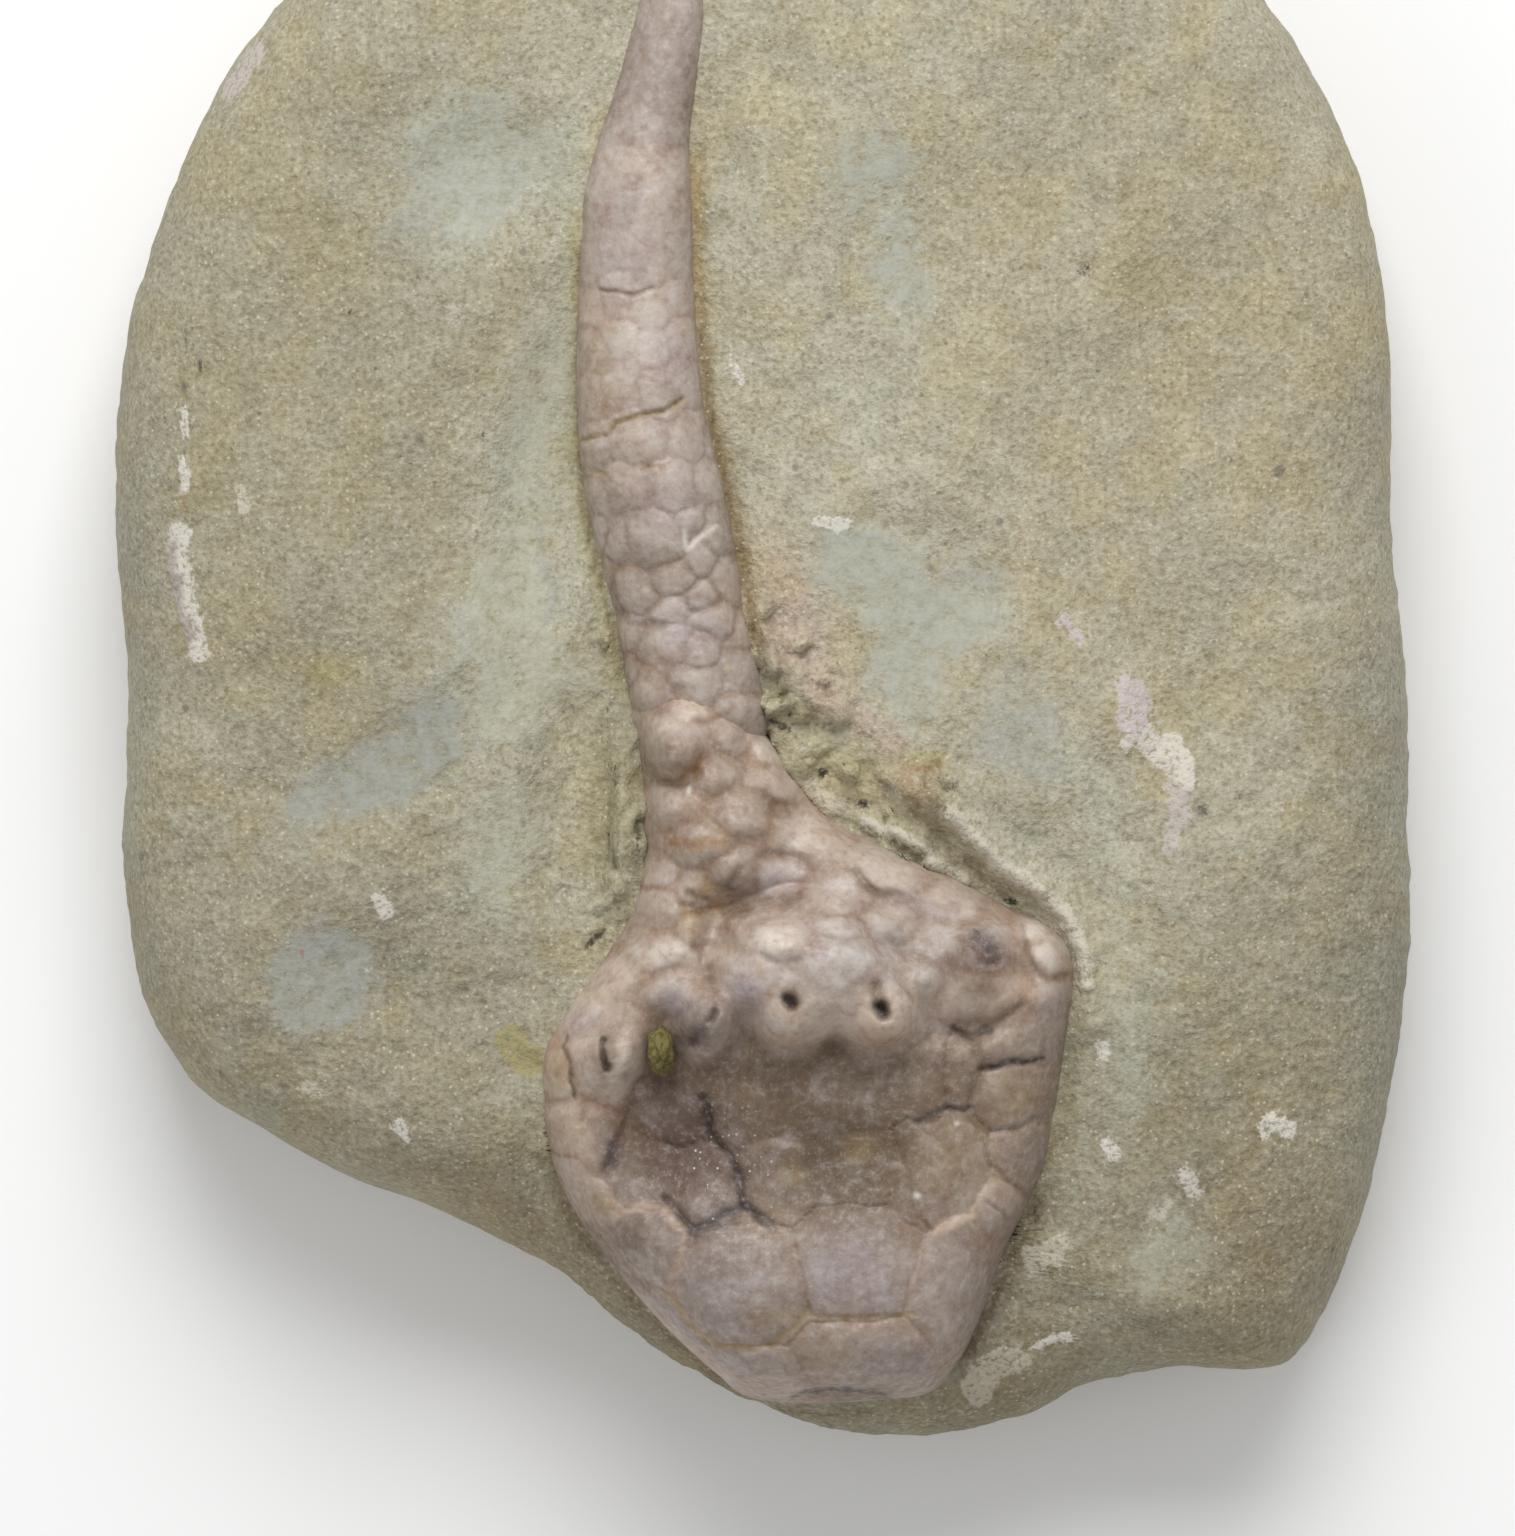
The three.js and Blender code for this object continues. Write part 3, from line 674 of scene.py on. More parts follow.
class Shader:
    """A node material while it is put together."""

    def __init__(self, name: str) -> None:
        """Starts a material with only its output and a principled shader."""
        self.material = bpy.data.materials.new(name)
        self.material.use_nodes = True
        self.tree = self.material.node_tree
        self.tree.nodes.clear()
        self.surface = self.add("BsdfPrincipled", {})
        self.add("OutputMaterial", {"Surface": self.surface.outputs["BSDF"]})
        self.place = self.add("TexCoord", {}).outputs["Object"]

    def add(self, kind: str, inputs: Mapping[str | int, Feed]) -> bpy.types.Node:
        """A new node of a kind, with inputs by name or number."""
        node = self.tree.nodes.new("ShaderNode" + kind)
        self.fill(node, inputs)
        return node

    def fill(self, node: bpy.types.Node, inputs: Mapping[str | int, Feed]) -> None:
        """Links a node's inputs to other nodes' outputs, or sets them to numbers and colours."""
        for key, value in inputs.items():
            if isinstance(value, bpy.types.NodeSocket):
                self.tree.links.new(value, node.inputs[key])
            else:
                node.inputs[key].default_value = value

    def close(self, inputs: Mapping[str | int, Feed]) -> bpy.types.Material:
        """The material, once the inputs of its surface are filled."""
        self.fill(self.surface, inputs)
        return self.material

    def layer(self, name: str, output: str = "Color") -> Socket:
        """A colour or value that is stored with the mesh."""
        node = self.add("Attribute", {})
        node.attribute_name = name
        return node.outputs[output]

    def noise(self, size: float, detail: float, roughness: float) -> Socket:
        """Noise from 0 to 1 whose largest lumps are `size` mm across."""
        inputs = {"Vector": self.place, "Scale": 1 / (size * MM), "Detail": detail}
        return self.add("TexNoise", inputs | {"Roughness": roughness}).outputs["Fac"]

    def cells(self, size: float) -> tuple[Socket, Socket]:
        """Voronoi cells about `size` mm apart: the distance from a cell's middle, and its random value."""
        node = self.add("TexVoronoi", {"Vector": self.place, "Scale": 1 / (size * MM)})
        parted = self.add("SeparateColor", {"Color": node.outputs["Color"]})
        return node.outputs["Distance"], parted.outputs["Red"]

    def grains(self, size: float, radius: float, chosen: float, edge: float = 0.06) -> Socket:
        """Scattered round grains: 1 in each, 0 between them.

        Args:
            size: Millimetres between the middles of neighbouring cells.
            radius: A grain's radius as a share of that.
            chosen: The share of cells that hold one.
            edge: How softly a grain ends, as a share of `size`.

        Returns:
            A value from 0 to 1.
        """
        distance, random = self.cells(size)
        round_spot = self.ranged(distance, (radius + edge, radius - edge), (0.0, 1.0))
        picked = self.ranged(random, (1 - chosen - 0.01, 1 - chosen + 0.01), (0.0, 1.0))
        return self.maths("MULTIPLY", round_spot, picked)

    def crisp(self, name: str, fray: Socket, stray: float, edge: float) -> Socket:
        """How far a stored patch hides the ground: its level, bent by noise, cut off sharply at 0.5.

        Args:
            name: The name that the level and its tint are stored under.
            fray: Noise from 0 to 1.
            stray: How far the noise moves the level.
            edge: Half the width of the cut, as a level.

        Returns:
            A value from 0 to 1.
        """
        bend = self.maths("MULTIPLY", self.maths("SUBTRACT", fray, 0.5), stray)
        level = self.maths("ADD", self.layer(name, "Fac"), bend)
        inside = self.ranged(level, (0.5 - edge, 0.5 + edge), (0.0, 1.0))
        return self.maths("MULTIPLY", inside, self.layer(name + "_tint", "Alpha"))

    def ranged(self, value: Socket, span: Point, onto: Point) -> Socket:
        """A value's `span` mapped smoothly onto another, and held there."""
        ends = dict(zip(("From Min", "From Max", "To Min", "To Max"), (*span, *onto)))
        node = self.add("MapRange", {"Value": value} | ends)
        node.interpolation_type = "SMOOTHSTEP"
        return node.outputs["Result"]

    def maths(self, operation: str, a: Socket | float, b: Socket | float) -> Socket:
        """The result of an operation on two values."""
        node = self.add("Math", {0: a, 1: b})
        node.operation = operation
        return node.outputs[0]

    def blended(self, kind: str, share: Socket | float, a: Socket, b: Socket | Triple) -> Socket:
        """Colour `a` blended with `b` in one of the ways of a Mix node."""
        node = self.add("Mix", {})
        node.data_type, node.blend_type = "RGBA", kind
        color = b if isinstance(b, bpy.types.NodeSocket) else (*b, 1.0)
        self.fill(node, {0: share, 6: a, 7: color})
        return node.outputs[2]

    def tinted(
        self,
        ground: Socket,
        value: Socket,
        kind: str,
        span: Point,
        most: float,
        color: Triple,
        within: Socket | float = 1.0,
    ) -> Socket:
        """Blends a colour in where a value goes from one end of a span to the other.

        Args:
            ground: The colour so far.
            value: The value, such as noise from 0 to 1.
            kind: One of the ways of a Mix node.
            span: Where the blend starts, and where it is whole.
            most: The share of a whole blend.
            color: The colour to blend in.
            within: An area that the blend is held to, as a share.

        Returns:
            The blended colour.
        """
        share = self.maths("MULTIPLY", self.ranged(value, span, (0.0, most)), within)
        return self.blended(kind, share, ground, color)

    def raised(
        self,
        height: Socket,
        distance: float,
        strength: Socket | float = 1.0,
        under: Socket | None = None,
    ) -> Socket:
        """A normal bent by heights from 0 to `distance` mm, on top of another bump where one is given."""
        inputs = {"Distance": distance * MM, "Strength": strength, "Height": height}
        if under is not None:
            inputs["Normal"] = under
        return self.add("Bump", inputs).outputs["Normal"]


class Finish(Protocol):
    """What a piece is dressed with."""

    @property
    def slot(self) -> str:
        """The name of the record's material slot."""

    def material(self) -> bpy.types.Material:
        """Makes the procedural material."""


@dataclass(frozen=True)
class StoneFinish:
    """Siltstone: sandy grain of pale, rusty and dark specks, smoother where it was scraped."""

    name: str = "siltstone"
    slot: str = "siltstone"
    roughness: float = 0.92
    specular: float = 0.25
    grain_size: float = 0.3
    grain_height: float = 0.11
    pit_size: float = 0.9
    pit_height: float = 0.2
    step_height: float = 0.05
    patch_fray: float = 1.1
    mark_fray: float = 0.45
    patch_smooth: float = 0.8

    def material(self) -> bpy.types.Material:
        """The stored tint with scraped patches, then sand grains, then crisp flecks and cracks over it."""
        shader = Shader(self.name)
        fine = shader.noise(self.grain_size, 3.0, 0.62)
        coarse = shader.noise(self.pit_size, 3.0, 0.6)
        patch = shader.crisp("scraped", shader.noise(self.patch_fray, 5.0, 0.65), 1.2, 0.3)
        patch = shader.maths("MULTIPLY", patch, shader.ranged(coarse, (0.3, 0.52), (0.5, 1.0)))
        ground = shader.blended("MIX", patch, shader.layer("tint"), shader.layer("scraped_tint"))
        sandy = shader.maths("SUBTRACT", 1.0, shader.maths("MULTIPLY", patch, self.patch_smooth))
        for value, kind, span, most, color, within in (
            (coarse, "MULTIPLY", (0.64, 0.36), 0.3, (0.66, 0.62, 0.52), 1.0),
            (fine, "MULTIPLY", (0.5, 0.34), 0.46, (0.5, 0.45, 0.34), sandy),
            (fine, "SCREEN", (0.52, 0.7), 0.4, (0.4, 0.37, 0.28), sandy),
        ):
            ground = shader.tinted(ground, value, kind, span, most, color, within)
        for size, radius, chosen, strength, color in (
            (0.34, 0.3, 0.3, 0.4, (0.3, 0.2, 0.09)),
            (0.3, 0.26, 0.22, 0.5, (0.66, 0.62, 0.5)),
            (0.42, 0.24, 0.1, 0.45, (0.14, 0.12, 0.08)),
            (1.7, 0.13, 0.09, 0.5, (0.12, 0.11, 0.1)),
        ):
            grain = shader.maths("MULTIPLY", shader.grains(size, radius, chosen), strength)
            ground = shader.blended("MIX", shader.maths("MULTIPLY", grain, sandy), ground, color)
        mark = shader.crisp("mark", shader.noise(self.mark_fray, 5.0, 0.72), 1.1, 0.1)
        mark = shader.maths("MULTIPLY", mark, shader.ranged(fine, (0.34, 0.5), (0.3, 1.0)))
        ground = shader.blended("MIX", mark, ground, shader.layer("mark_tint"))
        strength = shader.ranged(sandy, (0.0, 1.0), (0.22, 1.0))
        pits = shader.raised(coarse, self.pit_height, strength)
        grain_bump = shader.raised(fine, self.grain_height, strength, pits)
        step = shader.raised(patch, self.step_height, 0.6, grain_bump)
        inputs = {"Base Color": ground, "Normal": step, "Roughness": self.roughness}
        return shader.close(inputs | {"Specular IOR Level": self.specular})


@dataclass(frozen=True)
class CalciteFinish:
    """Fossil calcite: smooth domes with a soft sheen, faint mottling and scattered sparkling specks."""

    name: str
    slot: str
    roughness: float = 0.5
    specular: float = 0.42
    rougher: float = 0.14
    smoother: float = 0.08
    cloud_size: float = 1.7
    mottle_size: float = 0.45
    mottle_height: float = 0.035
    skin_size: float = 0.16
    skin_height: float = 0.016

    def material(self) -> bpy.types.Material:
        """The stored tint with brown and pale mottling, white specks where the sparkle layer is high."""
        shader = Shader(self.name)
        mottle = shader.noise(self.mottle_size, 4.0, 0.6)
        skin = shader.noise(self.skin_size, 2.0, 0.5)
        cloud = shader.noise(self.cloud_size, 5.0, 0.62)
        tint = shader.layer("tint")
        for value, kind, span, most, color in (
            (cloud, "MULTIPLY", (0.5, 0.34), 0.5, (0.72, 0.6, 0.6)),
            (cloud, "SCREEN", (0.52, 0.68), 0.36, (0.25, 0.23, 0.24)),
            (mottle, "MULTIPLY", (0.52, 0.3), 0.5, (0.72, 0.59, 0.47)),
            (mottle, "SCREEN", (0.5, 0.72), 0.34, (0.3, 0.27, 0.27)),
        ):
            tint = shader.tinted(tint, value, kind, span, most, color)
        rusty = shader.maths("MULTIPLY", shader.grains(0.75, 0.12, 0.25, 0.1), 0.35)
        tint = shader.blended("MIX", rusty, tint, (0.26, 0.15, 0.07))
        tint = shader.tinted(tint, skin, "SCREEN", (0.56, 0.74), 0.2, (0.42, 0.4, 0.38))
        sparks = shader.maths("MULTIPLY", shader.grains(0.3, 0.2, 0.5), shader.layer("sparkle", "Fac"))
        tint = shader.blended("MIX", sparks, tint, (0.72, 0.69, 0.66))
        bump = shader.raised(skin, self.skin_height, 1.0, shader.raised(mottle, self.mottle_height))
        span = (self.roughness + self.rougher, self.roughness - self.smoother)
        gloss = shader.ranged(mottle, (0.3, 0.7), span)
        inputs = {"Base Color": tint, "Normal": bump, "Roughness": gloss}
        return shader.close(inputs | {"Specular IOR Level": self.specular})


@dataclass(frozen=True)
class SedimentFinish:
    """Crumbly yellow-green sediment."""

    name: str = "sediment"
    slot: str = "sediment"
    roughness: float = 0.95
    specular: float = 0.2
    crumb_size: float = 0.3
    crumb_height: float = 0.12

    def material(self) -> bpy.types.Material:
        """The stored tint with painted shade between the crumbs, with a bump from the same noise."""
        shader = Shader(self.name)
        crumbs = shader.noise(self.crumb_size, 3.0, 0.6)
        # Painted shade where the crumbs' noise is low, between the raised crumbs.
        between = (0.42, 0.38, 0.25)
        tint = shader.tinted(shader.layer("tint"), crumbs, "MULTIPLY", (0.55, 0.32), 0.75, between)
        bump = shader.raised(crumbs, self.crumb_height)
        inputs = {"Base Color": tint, "Normal": bump, "Roughness": self.roughness}
        return shader.close(inputs | {"Specular IOR Level": self.specular})


@dataclass(frozen=True)
class FloorFinish:
    """The plain pale floor."""

    name: str = "pale_floor"
    color: Triple = (0.97, 0.97, 0.97)
    roughness: float = 0.9

    def material(self) -> bpy.types.Material:
        """One matt pale colour."""
        shader = Shader(self.name)
        return shader.close({"Base Color": (*self.color, 1.0), "Roughness": self.roughness})


def place(piece: bpy.types.Object, node: str, slot: str) -> bpy.types.Object:
    """Sets a piece to ride with the object and to stand for a CAD node, whose part it hides."""
    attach(piece, "root")
    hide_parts(node)
    return piece


def dress(
    name: str,
    points: Array,
    faces: tuple[Indices, Indices],
    layers: dict[str, Array],
    finish: Finish,
    node: str,
) -> bpy.types.Object:
    """Makes a piece, which rides with the object, stands for a CAD node and takes its material.

    Args:
        name: The piece's name.
        points: Its vertices in mm.
        faces: Its faces of four and of three vertices.
        layers: What its material reads from each vertex, by name.
        finish: Its material.
        node: The CAD node that it replaces.

    Returns:
        The dressed object.
    """
    piece = add_mesh(name, points, *faces)
    for layer, values in layers.items():
        paint(piece, layer, values)
    piece.data.materials.append(finish.material())
    return place(piece, node, finish.slot)


@dataclass
class FaceForm:
    """The slab's outline and the heights of its face, with the same values as the solid."""

    pole: Point = (2, -24)
    girth_height: float = 6.5
    face_height: float = 16.9
    crown: float = 1.1
    crown_half: Point = (33, 42)
    swell_height: float = 0.35
    swell_length: Triple = (4.1, 7.3, 5.2)
    swell_bend: float = 1.3
    swell_start: float = 0.4
    ripple_height: float = 0.22
    ripple_length: Point = (2.3, 3.1)
    edge_rounding: float = 0.25
    trough_depth: float = 1.0
    trough_reach: float = 4.5
    rim_height: float = 0.9
    rim_width: float = 1.1
    rim_crest: tuple[Point, ...] = (
        (7.6, -8.8), (9.6, -10.3), (12, -12.5), (14.4, -14.4), (16, -17), (16.5, -20.5),
    )  # fmt: skip
    outline: tuple[Point, ...] = (
        (-25.2, 30.5), (-19.5, 36.3), (-12.5, 40), (-3.5, 41.9), (6.5, 41.9), (15.5, 39.3), (22.5, 34.9),
        (27.3, 28.9), (30.3, 23.3), (31.7, 17.5), (32.2, 9.7), (32.2, 4.8), (32.6, 0.9), (33.1, -7.9),
        (33.2, -13.6), (32.4, -23.1), (30.8, -30.5), (28.3, -36.6), (27, -38.2), (25.4, -38.7),
        (21.5, -38.5), (19.3, -38.8), (16.6, -39.5), (14.4, -40.7), (9, -42), (2.6, -41.6),
        (-0.4, -40.5), (-4.6, -38.2), (-10, -34.2), (-13.6, -32), (-17.3, -30.1), (-21.5, -28.6),
        (-25.4, -26.4), (-28.3, -24.6), (-30.3, -22.5), (-32.1, -18.5), (-32.6, -14), (-32.5, -3.8),
        (-33.1, 4.8), (-32.6, 12.9), (-30.8, 20.2), (-28.6, 25.5),
    )  # fmt: skip
    scrapes: tuple[Row, ...] = (
        (-13.5, 21.5, 3.6, 3, 0.5, 0), (-17.5, -7.3, 7.5, 2.4, 0.6, 34), (-11, 6, 2.4, 10, 0.7, -8),
        (-21, -18.7, 3.4, 3, 0.5, 0), (6, 19.5, 2, 5.5, 0.5, 12), (6.5, 0.5, 4.6, 5, 0.7, -35),
        (12.5, -5.5, 3, 3.2, 0.4, 0), (-9.4, -10, 2.2, 7, 0.7, 4), (19.5, -32, 4, 2.6, 0.4, 30),
        (22, 16, 9, 14, 0.5, 0),
    )  # fmt: skip
    calyx_right: tuple[Row, ...] = (
        (3.2, -3.8), (4.2, -1.6), (6.2, 0.2), (8.5, 1.9), (10.6, 3.9), (12, 7), (13.3, 9.7),
        (14.8, 12.4), (16.1, 14.8), (17.6, 15.7), (20.4, 15.5), (22.6, 15.2), (25.3, 14.8),
        (27.4, 14.4), (29.5, 13.6), (32, 12.3), (35.8, 10.9), (38.1, 9.7), (39.5, 8.2), (39.8, 5.4),
        (40, 2.2),
    )  # fmt: skip
    calyx_left: tuple[Row, ...] = (
        (3.2, -3.8), (3.7, -5.6), (5, -6.8), (6.5, -6.3), (9.9, -6.2), (12.8, -6.2), (15, -6.7),
        (17.4, -8), (19.7, -9.6), (21.6, -10.9), (23, -11.2), (25.9, -11), (28.6, -10.3),
        (30.8, -9.1), (32.6, -7.8), (34.4, -6.4), (36.6, -4.4), (38.7, -2.1), (39.8, -0.5), (40, 2.2),
    )  # fmt: skip
    rim_below_face: float = 1.3
    calyx_bottom: float = 4.6
    under_power: float = 2.2
    tube_foot: float = -8.0
    tube_tip: float = 36.2
    tube_path: tuple[Row, ...] = (
        (-8, -2.4, 3.7), (-5.5, -2.95, 3.5), (-3, -3.5, 3.4), (0, -4.1, 3.35), (5, -5.2, 3.5),
        (10, -6.05, 3.2), (15.5, -6.3, 2.9), (20.5, -6.25, 2.7), (23.3, -6, 2.3), (25.5, -5.5, 2.05),
        (28, -4.95, 1.85), (30.5, -4.5, 1.65), (37, -3.9, 1.2),
    )  # fmt: skip
    tube_axis_below_face: float = 1.0
    slab_radius: Callable[[Array], Array] = field(init=False)

    def __post_init__(self) -> None:
        """Makes the radius function of the slab's outline."""
        self.slab_radius = radius_around(self.outline, self.pole)

    @property
    def calyx_ends(self) -> Point:
        """How far south the calyx starts under the tube, and where its base ends."""
        return self.calyx_right[0][0], self.calyx_right[-1][0]

    def calyx_sides(self, y: Array) -> tuple[Array, Array]:
        """The x of the calyx's left and right side at each y."""
        return along(self.calyx_left, -y), along(self.calyx_right, -y)

    def calyx_shares(self, x: Array, y: Array) -> tuple[Array, Array]:
        """Each point's place in the calyx: across and lengthwise, both from -1 to 1 inside it."""
        first, last = self.calyx_ends
        left, right = self.calyx_sides(y)
        across = (2 * x - left - right) / np.maximum(right - left, 0.01)
        return across, (-2 * y - first - last) / (last - first)

    def calyx_rim(self, across: Array, y: Array) -> Array:
        """Height of the calyx's widest level: under the face at its two sides, and straight between."""
        left, right = (self.rounded(side, y)[0] for side in self.calyx_sides(y))
        return left + (right - left) * (1 + across) / 2 - self.rim_below_face

    def fossil_distance(self, x: Array, y: Array) -> Array:
        """How far each point lies outside calyx and tube, below 0 inside them."""
        rows = (*self.calyx_right, *reversed(self.calyx_left[:-1]))
        calyx = path_distance(x, y, [(side, -south) for south, side in rows])
        across, lengthwise = self.calyx_shares(x, y)
        calyx = np.where((np.abs(across) < 1) & (np.abs(lengthwise) < 1), -calyx, calyx)
        beside = np.abs(x - along(self.tube_path, y)) - along(self.tube_path, y, 2)
        beyond = np.maximum(0, np.maximum(y - self.tube_tip, self.tube_foot - y))
        tube = np.where(beyond > 0, np.hypot(np.maximum(beside, 0), beyond), beside)
        return np.minimum(calyx, tube)

    def swell(self, x: Array, y: Array) -> Array:
        """Swells of crossing sine waves, the one along X bent by another, and a slanting ripple."""
        first, bend, second = self.swell_length
        bent = x / first + self.swell_bend * np.sin(y / bend)
        swell = self.swell_height * np.sin(bent) * np.cos(y / second + self.swell_start)
        along_x, along_y = self.ripple_length
        return swell + self.ripple_height * np.sin(x / along_x - y / along_y)

    def face(self, x: Array, y: Array) -> Array:
        """Height of the face before its edge rounds down.

        A low crown that falls with the square of the distance from the middle, swells of two sine waves, a
        trough exp(-(distance / reach)²) beside the fossil, the rim's ridge and the scraped hollows.

        Args:
            x: Points' places along X.
            y: Points' places along Y.

        Returns:
            Heights in mm.
        """
        crown = self.crown * ((x / self.crown_half[0]) ** 2 + (y / self.crown_half[1]) ** 2)
        outside = np.maximum(self.fossil_distance(x, y), 0)
        trough = self.trough_depth * fade(outside, self.trough_reach, 2)
        rim = self.rim_height * fade(path_distance(x, y, self.rim_crest), self.rim_width, 2)
        raised = self.face_height - crown + self.swell(x, y) - trough + rim
        return raised - hollows(x, y, self.scrapes, 4)

    def rounded(self, x: Array, y: Array) -> tuple[Array, Array]:
        """Height of the slab over each point and how far its edge has rounded down there.

        The height falls from the face to the girth by the square root of 1 - share^(rounding·radius),
        where share is the distance from the pole as a share of the outline's.

        Args:
            x: Points' places along X.
            y: Points' places along Y.

        Returns:
            Heights in mm, and 1 on the face to 0 on the girth.
        """
        dx, dy = x - self.pole[0], y - self.pole[1]
        radius = self.slab_radius(np.arctan2(dy, dx))
        share = np.minimum(np.hypot(dx, dy) / radius, 1)
        rounding = np.sqrt(np.maximum(0, 1 - share ** (self.edge_rounding * radius)))
        height = self.girth_height + (self.face(x, y) - self.girth_height) * rounding
        return height, rounding

    def calyx_under(self, across: Array, lengthwise: Array, rim: Array) -> Array:
        """Height of the calyx's lower side, which sinks from its widest level to its lowest point."""
        sunk = root_fall(across, self.under_power) * root_fall(lengthwise, self.under_power)
        return rim + (self.calyx_bottom - rim) * sunk

    def fossil_underside(self, x: Array, y: Array) -> Array:
        """Height of the lowest point of the fossil over each point, infinite where there is none.

        Under the calyx it sinks from the rim to the bottom by the product of sqrt(1 - share^power) across
        and lengthwise. Under the tube it is the axis less the half circle sqrt(radius² - distance²).

        Args:
            x: Points' places along X.
            y: Points' places along Y.

        Returns:
            Heights in mm.
        """
        across, lengthwise = self.calyx_shares(x, y)
        within = (np.abs(across) < 1) & (np.abs(lengthwise) < 1)
        rim = self.calyx_rim(np.clip(across, -1, 1), y)
        calyx = np.where(within, self.calyx_under(across, lengthwise, rim), np.inf)
        middle, radius = along(self.tube_path, y), along(self.tube_path, y, 2)
        beside = radius**2 - (x - middle) ** 2
        on_tube = (beside > 0) & (y > self.tube_foot) & (y < self.tube_tip)
        axis = self.rounded(middle, y)[0] - self.tube_axis_below_face
        tube = np.where(on_tube, axis - np.sqrt(np.maximum(beside, 0)), np.inf)
        return np.minimum(calyx, tube)


@dataclass(frozen=True)
class Crumbs:
    """Crumbs of sediment: large grains heaped here and there, with small ones over and between them.

    Attributes:
        large: The large grains.
        small: The small grains.
        bends: Noise that moves both along X and along Y.
        heaps: Noise that picks, with a large grain's own value, whether the grain stands high.
        large_height: Height of a large grain in mm.
        heap_height: Height of what the large grains lie on.
        small_height: Height of a small grain.
        sunk: How far the crumbs lie under the face where they aren't heaped.
        heap_cut: Between which values of the heaps' noise a grain rises.
        paleness: How pale a heaped grain is, and how far that varies from grain to grain.
        shade: How dark the painted shade in the hollows between the grains is, from 0 to 1.
        gap_cut: The gaps beside a large grain between which a hollow ends.
        fine_cut: The same for a small grain.
        fine_shade: How dark the painted shade in the hollows beside small grains is next to the others.
        least: The share of crumbs that is left out as too thin to see.
    """

    large: Grains = Grains(1.1, 13)
    small: Grains = Grains(0.55, 15)
    bends: tuple[Noise, Noise] = (Noise(0.3, 0.9, 3, 33, 2.0), Noise(0.3, 0.9, 3, 35, 6.0))
    heaps: Noise = Noise(0.6, 2.4, 3, 37, 4.0)
    large_height: float = 0.5
    heap_height: float = 0.55
    small_height: float = 0.22
    sunk: float = 0.05
    heap_cut: Point = (-0.5, 0.6)
    paleness: Point = (0.5, 0.3)
    shade: float = 0.22
    gap_cut: Point = (0.16, 0.02)
    fine_cut: Point = (0.14, 0.0)
    fine_shade: float = 0.5
    least: float = 0.03

    def lay(self, x: Array, y: Array, crumbly: Array, tint: Array) -> Array:
        """Colours the points in place and gives the height to add at each.

        Args:
            x: Points' places along X.
            y: Points' places along Y.
            crumbly: 1 where crumbs cling.
            tint: The points' colours.

        Returns:
            Heights in mm.
        """
        near = np.flatnonzero(crumbly > self.least)
        share, xs, ys = crumbly[near], x[near], y[near]
        bent = [at + bend.at(xs, ys) for at, bend in zip((xs, ys), self.bends)]
        large, gap, own = self.large.at(*bent)
        small, fine_gap, fine_own = self.small.at(*bent)
        heaped = smooth_step(*self.heap_cut, own + self.heaps.at(*bent))
        heap = heaped * (self.large_height * large + self.heap_height)
        height = np.zeros(x.shape)
        height[near] = share * (heap + self.small_height * small - self.sunk)
        pale = share * heaped * (self.paleness[0] + self.paleness[1] * fine_own)
        # Painted shade in the hollows between the grains.
        fine_hollow = self.fine_shade * smooth_step(*self.fine_cut, fine_gap)
        hollow = self.shade * share * np.maximum(smooth_step(*self.gap_cut, gap), fine_hollow)
        tint[near] = mix(tint[near], linear(Tone.CRUMB), pale)
        tint[near] = mix(tint[near], linear(Tone.CRUMB_SHADE), hollow)
        return height


